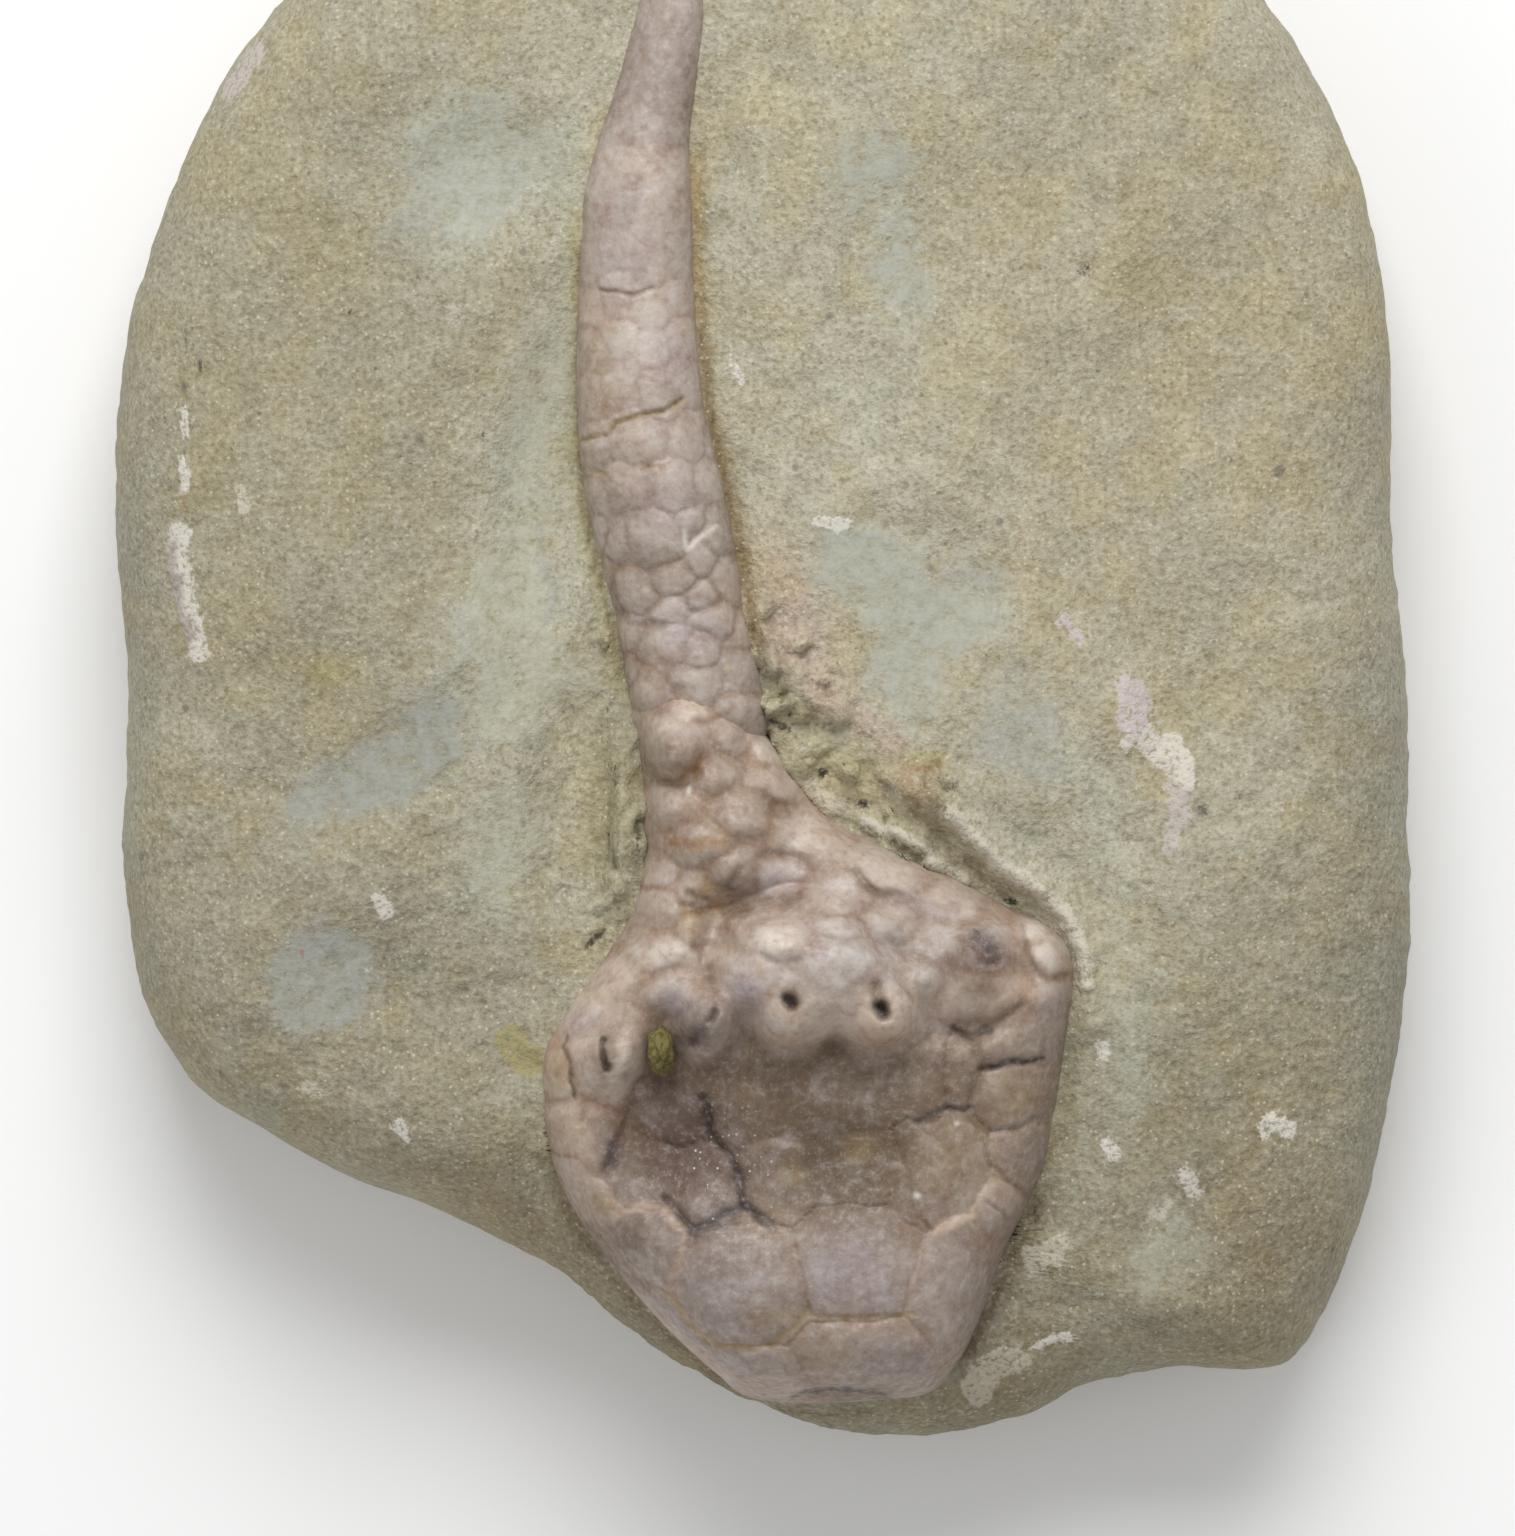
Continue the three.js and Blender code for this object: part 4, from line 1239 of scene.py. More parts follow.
@dataclass
class Slab:
    """The matrix: a rounded slab of siltstone with a socket under the fossil."""

    form: FaceForm
    finish: StoneFinish = field(default_factory=StoneFinish)
    count: int = 272
    columns: tuple[Row, ...] = ((-1, 1), (-0.55, 1), (-0.4, 1.6), (0.5, 1.6), (0.65, 1), (1, 1))
    rows: tuple[Row, ...] = ((-1, 0.5), (-0.1, 0.5), (0.05, 2), (0.4, 2), (0.55, 1), (1, 1))
    side_rings: int = 16
    under_rings: int = 4
    foot_share: float = 0.93
    socket_slope: float = 10.0
    socket_start: float = 0.45
    socket_clearance: float = 0.25
    patch_span: float = 1.6
    patch_edge: float = 0.95
    patch_fray: float = 0.75
    patch_cut: Point = (0.35, 0.65)
    mark_span: float = 0.5
    crumbs: Crumbs = Crumbs()
    crumb_reach: float = 1.9
    trench: tuple[Point, ...] = ((1.6, -3), (3.4, -7), (7.6, -9.4))
    trench_reach: float = 2.1
    crumbs_south: Point = (-17, -13)
    crumbs_north: Point = (3, -3)
    crumbs_east: Point = (9.5, 7.5)
    crumb_gaps: Noise = Noise(1.0, 3.0, 3, 39, 1.0)
    crumb_cut: Point = (-0.5, 0.1)
    fewest_crumbs: float = 0.35
    sand: Noise = Noise(0.3, 2.6, 5, 3)
    swell: Noise = Noise(0.06, 7.0, 3, 9, 5.0)
    pits: Noise = Noise(1.0, 1.1, 3, 11, 3.0)
    pit_cut: Point = (0.1, 0.5)
    pit_depth: float = 0.12
    patch_calm: float = 0.8
    crumb_calm: float = 0.4
    relief_edge: Point = (0.1, 0.45)
    press_edge: Point = (0.25, 0.7)
    press_foot: Point = (-0.5, 2.0)
    side_lumps: Noise = Noise(0.275, 5.0, 5, 21)
    side_dimples: Noise = Noise(0.12, 0.9, 3, 27)
    clouds: Noise = Noise(0.07, 9.0, 4, 41)
    mottles: Noise = Noise(0.12, 1.4, 4, 43)
    rust: Noise = Noise(1.5, 2.4, 5, 45)
    rust_everywhere: float = 0.3
    rust_share: float = 0.7
    rust_cast: Triple = (1.02, 0.95, 0.82)
    plain_cast: Triple = (1.0, 1.0, 1.02)
    scraped: tuple[Wash, ...] = (
        Wash(Tone.SCRAPED_BLUE, (-14.6, 22.3), (2.8, 3.4), 0.75),
        Wash(Tone.SCRAPED_BLUE, (-11.2, 23.1), (1.7, 1.6), 0.6),
        Wash(Tone.SCRAPED_GREY, (-17, 19.6), (2.2, 1.3), 0.5, 30),
        Wash(Tone.SCRAPED_GREEN, (-12.7, 1.5), (2, 5.4), 0.75, -14),
        Wash(Tone.SCRAPED_GREY, (-11.2, 2.7), (0.7, 2.4), 0.75, 8),
        Wash(Tone.SCRAPED_BLUE, (-14.6, -1), (1, 3), 0.7, -35),
        Wash(Tone.SCRAPED_GREEN, (-11.6, 9.8), (1.5, 5), 0.7, -12),
        Wash(Tone.SCRAPED_GREY, (-18, -7.3), (6, 2.1), 0.85, 33),
        Wash(Tone.SCRAPED_GREEN, (-12.6, -3.8), (4.2, 2.1), 0.7, 33),
        Wash(Tone.SCRAPED_GREEN, (-12.9, -12.4), (2.2, 3), 0.55),
        Wash(Tone.SCRAPED_GREY, (-21.4, -18.8), (3, 2.9), 0.8),
        Wash(Tone.SCRAPED_BLUE, (5.6, 22), (2, 2.6), 0.8),
        Wash(Tone.SCRAPED_BLUE, (6.7, 17), (1.3, 3.2), 0.85, 14),
        Wash(Tone.SCRAPED_BLUE, (5.6, 2), (3.9, 2.3), 0.85, -25),
        Wash(Tone.SCRAPED_BLUE, (8.8, -1.6), (2.7, 3.8), 0.85, -35),
        Wash(Tone.SCRAPED_GREY, (9.8, 1.6), (2, 1.3), 0.6),
        Wash(Tone.SCRAPED_GREY, (12.6, -6.4), (2, 2.9), 0.55),
        Wash(Tone.SCRAPED_BLUE, (19.4, -32.4), (2, 3.3), 0.5, -25),
        Wash(Tone.SCRAPED_GREEN, (18.2, -20.8), (1, 5.5), 0.4, 4),
    )  # fmt: skip
    washes: tuple[Wash, ...] = (
        Wash(Tone.STONE_RIGHT, (20, 18), (20, 26), 0.8),
        Wash(Tone.STONE_MIDDLE, (3, 2), (17, 26), 0.75, 10),
        Wash(Tone.STONE_LEFT, (-24, 12), (12, 26), 0.9),
        # Painted shade on the lower part of the face, which slopes away from the light.
        Wash(Tone.STONE_LOW_SHADE, (-22, -20.5), (15, 10.5), 0.8, -20),
        Wash(Tone.STONE_LOW_SHADE, (8, -36), (24, 9), 0.7),
        Wash(Tone.OCHRE, (20, 12), (13, 18), 0.16),
        Wash(Tone.SCRAPED_GREEN, (-13, 21), (6.5, 4.5), 0.55, 10),
        Wash(Tone.SCRAPED_GREEN, (-11.6, 6), (3.2, 10.5), 0.6, -6),
        Wash(Tone.SCRAPED_GREEN, (-13.4, -12.8), (3.2, 3.4), 0.45),
        Wash(Tone.SCRAPED_GREEN, (5.5, 9.5), (4.5, 5), 0.3),
        Wash(Tone.SCRAPED_GREEN, (15, -10), (4.2, 5), 0.4),
        Wash(Tone.SCRAPED_GREEN, (18.4, -20.8), (1.7, 6.5), 0.45, 4),
        # Painted cool bounce light along the rounded left and right edges.
        Wash(Tone.STONE_EDGE_BOUNCE, (32, -16), (3.2, 22), 0.6, 4),
        Wash(Tone.STONE_EDGE_BOUNCE, (-32.5, -6), (2.4, 26), 0.45),
        Wash(Tone.CRUMB, (3, -6.6), (3.6, 2.6), 0.6, -45),
        Wash(Tone.CRUMB, (-7.6, -10.5), (2.2, 7), 0.5, 4),
        Wash(Tone.MOSS, (-7.3, -9.6), (1.5, 6), 0.4, 4),
        Wash(Tone.STONE_SHADE, (25.5, -21), (8, 9), 0.4),
        Wash(Tone.BROWN, (-11.4, -31), (6, 2.6), 0.28, -35),
        Wash(Tone.OCHRE, (-13, -31.4), (8, 2.4), 0.3, -33),
        Wash(Tone.OCHRE, (-4, -40), (9, 2), 0.3, -25),
        Wash(Tone.PINK_DEBRIS, (1.6, -0.4), (1.8, 4.2), 0.75, 22),
        Wash(Tone.OCHRE, (8, -8.8), (3, 1.8), 0.4, -40),
        Wash(Tone.CRUMB, (8.6, -11.6), (4.6, 1.3), 0.6, -42),
        Wash(Tone.STONE_MIDDLE, (22, 2), (6, 6), 0.35),
        Wash(Tone.OCHRE, (12, -39.6), (3, 1.4), 0.3, 20),
        Wash(Tone.YELLOW, (-21.5, -3), (1.5, 0.9), 0.5),
        Wash(Tone.ORANGE, (26, -31), (3, 3.6), 0.22),
        Wash(Tone.BROWN, (-4, -38.4), (6.5, 1.6), 0.4, -36),
        Wash(Tone.BROWN, (12, -37.6), (3, 4.4), 0.2, -25),
        Wash(Tone.STONE_SHADE, (22, -31), (9, 8), 0.55),
        Wash(Tone.STONE_SHADE, (2, -41), (22, 3.6), 0.5),
    )  # fmt: skip
    stains: tuple[Mark, ...] = (
        # The stain and shadow line along the tube.
        Mark(Tone.OCHRE, 0.5, 0.75, 0.1, ((-3.5, 22.6), (-3.3, 20), (-3.2, 15), (-2.7, 10), (-1.5, 5),
            (-0.6, 0.4), (-0.3, -1.6)), ragged=0.6),
        Mark(Tone.BROWN, 0.26, 0.6, 0.1, ((-3.1, 14), (-2.5, 9), (-1.4, 4.4), (-0.4, -0.6),
            (0.2, -3)), ragged=0.6),
        Mark(Tone.YELLOW, 0.5, 0.5, 0.0, ((-9.2, 20), (-9.3, 14), (-9.4, 9), (-8.8, 4), (-7.6, -1),
            (-7, -4)), ragged=0.6),
        Mark(Tone.BROWN, 0.16, 0.5, 0.1, ((-9.1, 18), (-9.2, 12), (-9.2, 8), (-8.8, 4.2), (-7.8, 0.4),
            (-7.1, -2.6)), ragged=0.6),
        Mark(Tone.BROWN, 0.5, 0.5, 0.1, ((13.9, -29.4), (12.8, -32), (11.7, -34.8),
            (10.6, -37)), ragged=0.7),
        Mark(Tone.BROWN, 0.4, 0.5, 0.12, ((-10.9, -27.5), (-9.4, -30.8), (-7.4, -33.6), (-4.8, -36.6),
            (-2.2, -39.1)), ragged=0.7),
        Mark(Tone.BROWN, 0.55, 0.35, 0.25, ((1.3, 17.3),), ragged=0.4),
        Mark(Tone.CUP_DARK, 0.3, 0.5, 0.2, ((12.4, -32.4), (11.5, -34.8), (10.8, -36.5), (10, -37.7)), 0.6),
        Mark(Tone.BROWN, 0.3, 0.5, 0.1, ((0.8, -40.5), (3, -40.7), (5.4, -40.5)), 0.5),
        # Brown trench between the two pale crests beside the right shoulder, and what lies near it.
        Mark(Tone.BROWN, 0.4, 0.5, 0.12, ((7.4, -9.6), (8.4, -10.9), (9.6, -12), (10.8, -13.2),
            (12, -14.2)), 0.2),
        Mark(Tone.BROWN, 0.4, 0.6, 0.15, ((8.4, -9.4), (8.9, -9.9)), ragged=0.9),
        Mark(Tone.ORANGE, 0.8, 0.5, -0.05, ((7, -8.6), (7.8, -8.9)), 0.3, 0.9),
        Mark(Tone.ORANGE, 0.3, 0.6, 0.0, ((7.3, -7.7), (8, -7.9), (8.8, -7.8))),
        Mark(Tone.YELLOW, 0.34, 0.6, -0.05, ((7.4, -7.4), (8.2, -7.5), (9, -7.3))),
        Mark(Tone.SCRAPED_BLUE, 0.5, 0.7, 0.0, ((6.5, -9.1),)),
        Mark(Tone.PINK_DEBRIS, 0.9, 0.8, -0.1, ((0.8, -1.2), (2, -2.4), (3.4, -4.2), (4.8, -5.2),
            (6.6, -6.2)), 0.3, 0.9),
        Mark(Tone.BROWN, 0.3, 0.45, 0.05, ((0.4, 0.6), (0.6, -1), (0.9, -2.6), (1.4, -3.6)), 0.3, 1.0),
        Mark(Tone.YELLOW, 0.9, 0.2, 0.0, ((1, -4.4), (2.2, -6.2), (3.4, -7.6), (4.8, -8.6)), 0.2),
        Mark(Tone.PALE, 0.5, 0.5, -0.1, ((1.7, -6), (2, -6.8))),
        Mark(Tone.CREAM, 0.42, 0.6, -0.15, ((2.4, -8.8), (3.2, -9.6), (4, -10.1)), 0.2),
        Mark(Tone.MOSS, 0.24, 0.6, 0.15, ((3.6, -10.4), (5.2, -11), (7, -11.9), (7.9, -12.2)), 0.3),
        # The darker margin along the calyx's right side.
        Mark(Tone.MOSS, 0.8, 0.4, 0.15, ((15.2, -22), (15, -25.4), (14.2, -28.6), (13, -31.6)), 0.2),
    )  # fmt: skip
    marks: tuple[Mark, ...] = (
        # Pale flecks and scratches.
        Mark(Tone.CHALK, 0.26, 0.8, -0.05, ((-29, 10.2), (-28.9, 9.2)), ragged=0.6),
        Mark(Tone.CHALK, 0.28, 0.85, -0.05, ((-29.1, 7.6), (-29, 6.2)), ragged=0.6),
        Mark(Tone.ORANGE, 0.2, 0.6, 0.0, ((-28.9, 5.6), (-29.1, 5)), ragged=0.6),
        Mark(Tone.CHALK, 0.5, 0.75, -0.05, ((-29.3, 4), (-29.1, 2), (-28.8, 0.6), (-28.4, -1),
            (-28.2, -2.3)), 0.45, 0.9),
        Mark(Tone.LILAC, 0.35, 0.5, 0.0, ((-29.6, 3.2), (-29.2, 0.8), (-28.6, -1.4)), ragged=0.9),
        Mark(Tone.PALE, 0.34, 0.7, -0.04, ((-26, 6), (-25.9, 4.8)), 0.45, 0.9),
        Mark(Tone.ROSE, 0.62, 0.6, -0.05, ((-25.6, 28.6), (-26.3, 27.4), (-26.8, 26.2)), 0.45, 0.9),
        Mark(Tone.CHALK, 0.13, 0.9, 0.0, ((-1.7, 13), (-1.3, 12), (-0.8, 11.2)), ragged=0.3),
        Mark(Tone.CHALK, 0.4, 0.8, -0.05, ((3, 4.4), (4, 4.2)), 0.45, 0.9),
        Mark(Tone.ROSE, 0.45, 0.85, -0.08, ((15, -0.8), (15.7, -1.2)), 0.45, 0.9),
        Mark(Tone.ROSE, 0.75, 0.9, -0.2, ((18.3, -3.8), (18.6, -5.2), (19, -6.1)), 0.45, 0.9),
        Mark(Tone.CHALK, 0.7, 0.75, -0.2, ((18.9, -6.3), (20.1, -6.9), (21, -7.3), (21, -8.3)), 0.45, 0.9),
        Mark(Tone.ROSE, 0.6, 0.6, -0.05, ((20.9, -9), (20.8, -10.6), (20.4, -12)), 0.45, 0.9),
        Mark(Tone.CHALK, 0.62, 0.8, -0.06, ((25.5, -25.8), (26.2, -25.9)), 0.45, 0.9),
        Mark(Tone.CHALK, 0.34, 0.8, -0.04, ((17.4, -26.6), (17.7, -27.4)), 0.45, 0.9),
        Mark(Tone.CHALK, 0.5, 0.6, -0.04, ((21.2, -28.3), (21.6, -29)), 0.45, 0.9),
        Mark(Tone.PALE, 0.36, 0.5, 0.0, ((19.6, -30.4), (20.4, -29.9)), 0.45, 0.9),
        Mark(Tone.PALE, 0.85, 0.65, -0.06, ((13.9, -32.6), (15, -32.2)), 0.45, 0.9),
        Mark(Tone.PALE, 1.0, 0.5, -0.06, ((10.8, -38.8), (12.6, -37.8)), 0.45, 0.9),
        Mark(Tone.CHALK, 0.24, 0.85, -0.04, ((13.8, -37), (14.6, -36.5), (15.6, -36.5)), ragged=0.4),
        Mark(Tone.CHALK, 0.34, 0.7, 0.0, ((17, -21.6), (17.2, -22.4)), 0.45, 0.9),
        Mark(Tone.CHALK, 0.36, 0.75, -0.03, ((-19, -14.4), (-18.8, -15.2)), 0.45, 0.9),
        Mark(Tone.CHALK, 0.38, 0.75, -0.03, ((-18.2, -25.7), (-17.7, -26.4)), 0.45, 0.9),
        Mark(Tone.PALE, 0.4, 0.6, -0.03, ((-22.9, -23.9), (-22.4, -24.1)), 0.45, 0.9),
        Mark(Tone.CHALK, 0.12, 0.9, 0.0, ((-19.8, -18),), ragged=0.3),
        Mark(Tone.CHALK, 0.18, 0.8, 0.0, ((9.6, -35.4),), ragged=0.5),
        # Dark and red specks, and a dent.
        Mark(Tone.CRACK, 0.3, 0.75, 0.05, ((-20.5, 14.8),), ragged=0.7),
        Mark(Tone.CRACK, 0.3, 0.7, 0.05, ((-28.2, 12.4),), ragged=0.7),
        Mark(Tone.CRACK, 0.26, 0.7, 0.05, ((-14, 8.6),), ragged=0.7),
        Mark(Tone.CRACK, 0.34, 0.8, 0.06, ((16.1, 17),), ragged=0.7),
        Mark(Tone.SLATE, 0.34, 0.7, 0.05, ((22, -10),), ragged=0.7),
        Mark(Tone.SLATE, 0.34, 0.55, 0.05, ((26, 7),)),
        Mark(Tone.SLATE, 0.3, 0.5, 0.04, ((-31.4, -12.4),)),
        Mark(Tone.RED, 0.12, 0.6, 0.0, ((-15, 26.1),), ragged=0.6),
        Mark(Tone.RED, 0.16, 0.55, 0.0, ((-23, -17.2),), ragged=0.6),
        Mark(Tone.YELLOW, 0.9, 0.75, 0.05, ((-12.4, -21.6), (-11.8, -22.6))),
        Mark(Tone.PALE, 0.4, 0.5, -0.05, ((-15.6, 15), (-15.3, 14.4)), ragged=0.7),
        # The two pale crests beside the right shoulder, and the holes near them.
        Mark(Tone.PALE, 0.4, 0.85, -0.36, ((9.3, -10.2), (10, -10.8), (11, -11.8), (12, -12.8),
            (13.2, -13.6), (14.3, -14.4), (15.2, -15.3), (15.8, -16.4), (16.1, -17.6),
            (16.2, -18.8)), 0.15, 0.5),
        Mark(Tone.PALE, 0.32, 0.8, -0.26, ((5.2, -10.7), (6.2, -11), (7.2, -11.4), (8.4, -12.3),
            (9.3, -13), (10, -13.6)), 0.15, 0.9),
        Mark(Tone.BLACK, 0.2, 0.9, 0.3, ((2.9, -8.3), (3.2, -8.1)), ragged=0.6),
        Mark(Tone.BLACK, 0.17, 0.85, 0.3, ((5, -9.6), (5.2, -9.8)), ragged=0.6),
        Mark(Tone.BLACK, 0.15, 0.85, 0.3, ((12.3, -14.5), (12.6, -14.7)), ragged=0.6),
        Mark(Tone.CRACK, 0.13, 0.8, 0.25, ((0.5, -5.5), (0.9, -5.75), (1.3, -5.9)), ragged=0.6),
        Mark(Tone.CRACK, 0.13, 0.8, 0.25, ((1.5, -5.2),), ragged=0.6),
        Mark(Tone.CRACK, 0.16, 0.7, 0.25, ((13.7, -29.9), (13.9, -31)), ragged=0.6),
        Mark(Tone.CRACK, 0.12, 0.75, 0.2, ((-6.1, -11), (-6.25, -12)), ragged=0.6),
        Mark(Tone.BLACK, 0.13, 0.8, 0.25, ((-8, -16.1), (-8.35, -16.5), (-8.7, -16.9)), ragged=0.6),
    )  # fmt: skip

    def socket(self, x: Array, y: Array, top: Array) -> Array:
        """The stone's surface lowered inside the fossil's outline: steep walls, then the fossil's bed."""
        inside = -self.form.fossil_distance(x, y) - self.socket_start
        bed = self.form.fossil_underside(x, y) - self.socket_clearance
        bed = np.minimum(np.where(np.isfinite(bed), bed, self.form.calyx_bottom), top)
        return np.where(inside > 0, np.maximum(top - self.socket_slope * inside, bed), top)

    def crumbly(self, x: Array, y: Array) -> Array:
        """1 where crumbs of sediment cling: beside the tegmen, the tube's foot and the rim's trench."""
        beside = fade(np.maximum(self.form.fossil_distance(x, y), 0), self.crumb_reach, 4)
        beside *= smooth_step(*self.crumbs_south, y) * smooth_step(*self.crumbs_north, y)
        trench = fade(path_distance(x, y, self.trench), self.trench_reach, 4)
        patchy = smooth_step(*self.crumb_cut, self.crumb_gaps.at(x, y))
        patchy *= self.fewest_crumbs + (1 - self.fewest_crumbs) * smooth_step(*self.crumbs_east, x)
        return np.clip(np.maximum(beside * patchy, trench), 0, 1)

    def patches(self, x: Array, y: Array) -> Crisp:
        """Where the face was scraped down to smooth grey stone."""
        crisp = Crisp.blank(len(x), self.patch_span)
        everywhere = np.arange(len(x))
        for wash in self.scraped:
            size = min(wash.half)
            reach = ellipse_reach(x, y, wash.centre, wash.half, wash.turn)
            reach += Noise(self.patch_fray, 1.1 * size + 0.8, 5, 73).at(x, y)
            crisp.add(everywhere, (reach - self.patch_edge) * size, 0.0, wash.tone, wash.strength)
        return crisp

    def relief(self, x: Array, y: Array, smooth: Array, crumbly: Array) -> Array:
        """Height of the stone's own bumps: sandy swells and pits, weaker where it is smooth or crumbly."""
        sandy = 1 - self.patch_calm * smooth
        bumps = sandy * self.sand.at(x, y) + self.swell.at(x, y)
        bumps -= self.pit_depth * sandy * smooth_step(*self.pit_cut, self.pits.at(x, y))
        return bumps * (1 - self.crumb_calm * crumbly)

    def pressed(self, x: Array, y: Array, z: Array, off_face: Array) -> tuple[Array, Array]:
        """Places along X and Y, pressed towards the pole by lumps and dimples where they are off the face."""
        press = self.side_lumps.weight + self.side_lumps.at(x, y, z) + self.side_dimples.at(x, y, z)
        across, upward = x - self.form.pole[0], y - self.form.pole[1]
        radius = np.maximum(np.hypot(across, upward), 1)
        pull = 1 - np.clip(press * off_face, 0, 1) / radius
        return self.form.pole[0] + across * pull, self.form.pole[1] + upward * pull

    def tint(self, x: Array, y: Array, drop: Array) -> Array:
        """Colours of the stone: washes in turn over the base, then clouds and mottles of noise.

        Args:
            x: Points' places along X.
            y: Points' places along Y.
            drop: How far each point lies below the girth, so that the noise isn't drawn out down the side.

        Returns:
            One linear colour for each point.
        """
        tint = washed(x, y, np.tile(linear(Tone.STONE_RIGHT), (len(x), 1)), self.washes)
        tint *= (1 + self.clouds.at(x, y, drop) + self.mottles.at(x, y, drop))[:, None]
        rust = self.rust_share * np.clip(self.rust.at(x, y, drop) + self.rust_everywhere, 0, 1)
        return mix(tint * np.array(self.plain_cast), tint * np.array(self.rust_cast), rust)

    def build(self) -> bpy.types.Object:
        """Builds the slab as a square grid spread over its outline, and rings down its side and under it.

        On the face the height is the form's plus noise, lowered to the socket under the fossil. The side
        is a quarter of an ellipse from the girth to the foot, and noise only presses it in, so that it
        stays in its box.

        Returns:
            The dressed object.
        """
        form = self.form
        angle, share = disc_grid(graded(self.count, self.columns), graded(self.count, self.rows))
        quads, fan, border = sheet_faces(self.count, self.side_rings + self.under_rings)
        down = np.linspace(0, 1, self.side_rings + 1)[1:] * np.pi / 2
        side_share = 1 - (1 - self.foot_share) * (1 - np.cos(down))
        under_share = np.linspace(1, 0, self.under_rings + 2)[1:-1] * self.foot_share
        ring_share = np.concatenate([side_share, under_share])
        on_face = np.arange(len(share) + len(ring_share) * len(border)) < len(share)
        angle = np.concatenate([angle, np.tile(angle[border], len(ring_share))])
        share = np.concatenate([share, np.repeat(ring_share, len(border))])
        radius = share * form.slab_radius(angle)
        x, y = form.pole[0] + radius * np.cos(angle), form.pole[1] + radius * np.sin(angle)
        height, rounding = form.rounded(x, y)
        patches, crumbly = self.patches(x, y), self.crumbly(x, y)
        smooth = smooth_step(*self.patch_cut, patches.level)
        ring_height = np.concatenate([form.girth_height * (1 - np.sin(down)), np.zeros(self.under_rings)])
        lower = np.repeat(ring_height, len(border))
        drop = np.concatenate([np.zeros(np.count_nonzero(on_face)), form.girth_height - lower])
        tint = self.tint(x, y, drop)
        crumbs = self.crumbs.lay(x, y, crumbly, tint)
        marks, marked = Crisp.blank(len(x), self.mark_span), np.zeros(x.shape)
        for stain in self.stains:
            stain.lay(x, y, tint, marked)
        for mark in self.marks:
            mark.lay(x, y, tint, marked, marks)
        marks.level[~on_face] = 0
        inner = smooth_step(*self.relief_edge, rounding)
        relief = (self.relief(x, y, smooth, crumbly) + crumbs) * inner + marked
        z = self.socket(x, y, height + relief)
        z[~on_face] = lower
        off_face = 1 - smooth_step(*self.press_edge, rounding)
        off_foot = smooth_step(*self.press_foot, lower)
        off_face[~on_face] *= off_foot * np.repeat(ring_height > 0, len(border))
        points = np.column_stack([*self.pressed(x, y, z, off_face), z])
        layers = {"tint": np.vstack([tint, tint[-1:]])}
        layers |= patches.layers("scraped") | marks.layers("mark")
        closed = np.vstack([points, [*form.pole, 0.0]])
        return dress("siltstone_slab", closed, (quads, fan), layers, self.finish, "matrix")


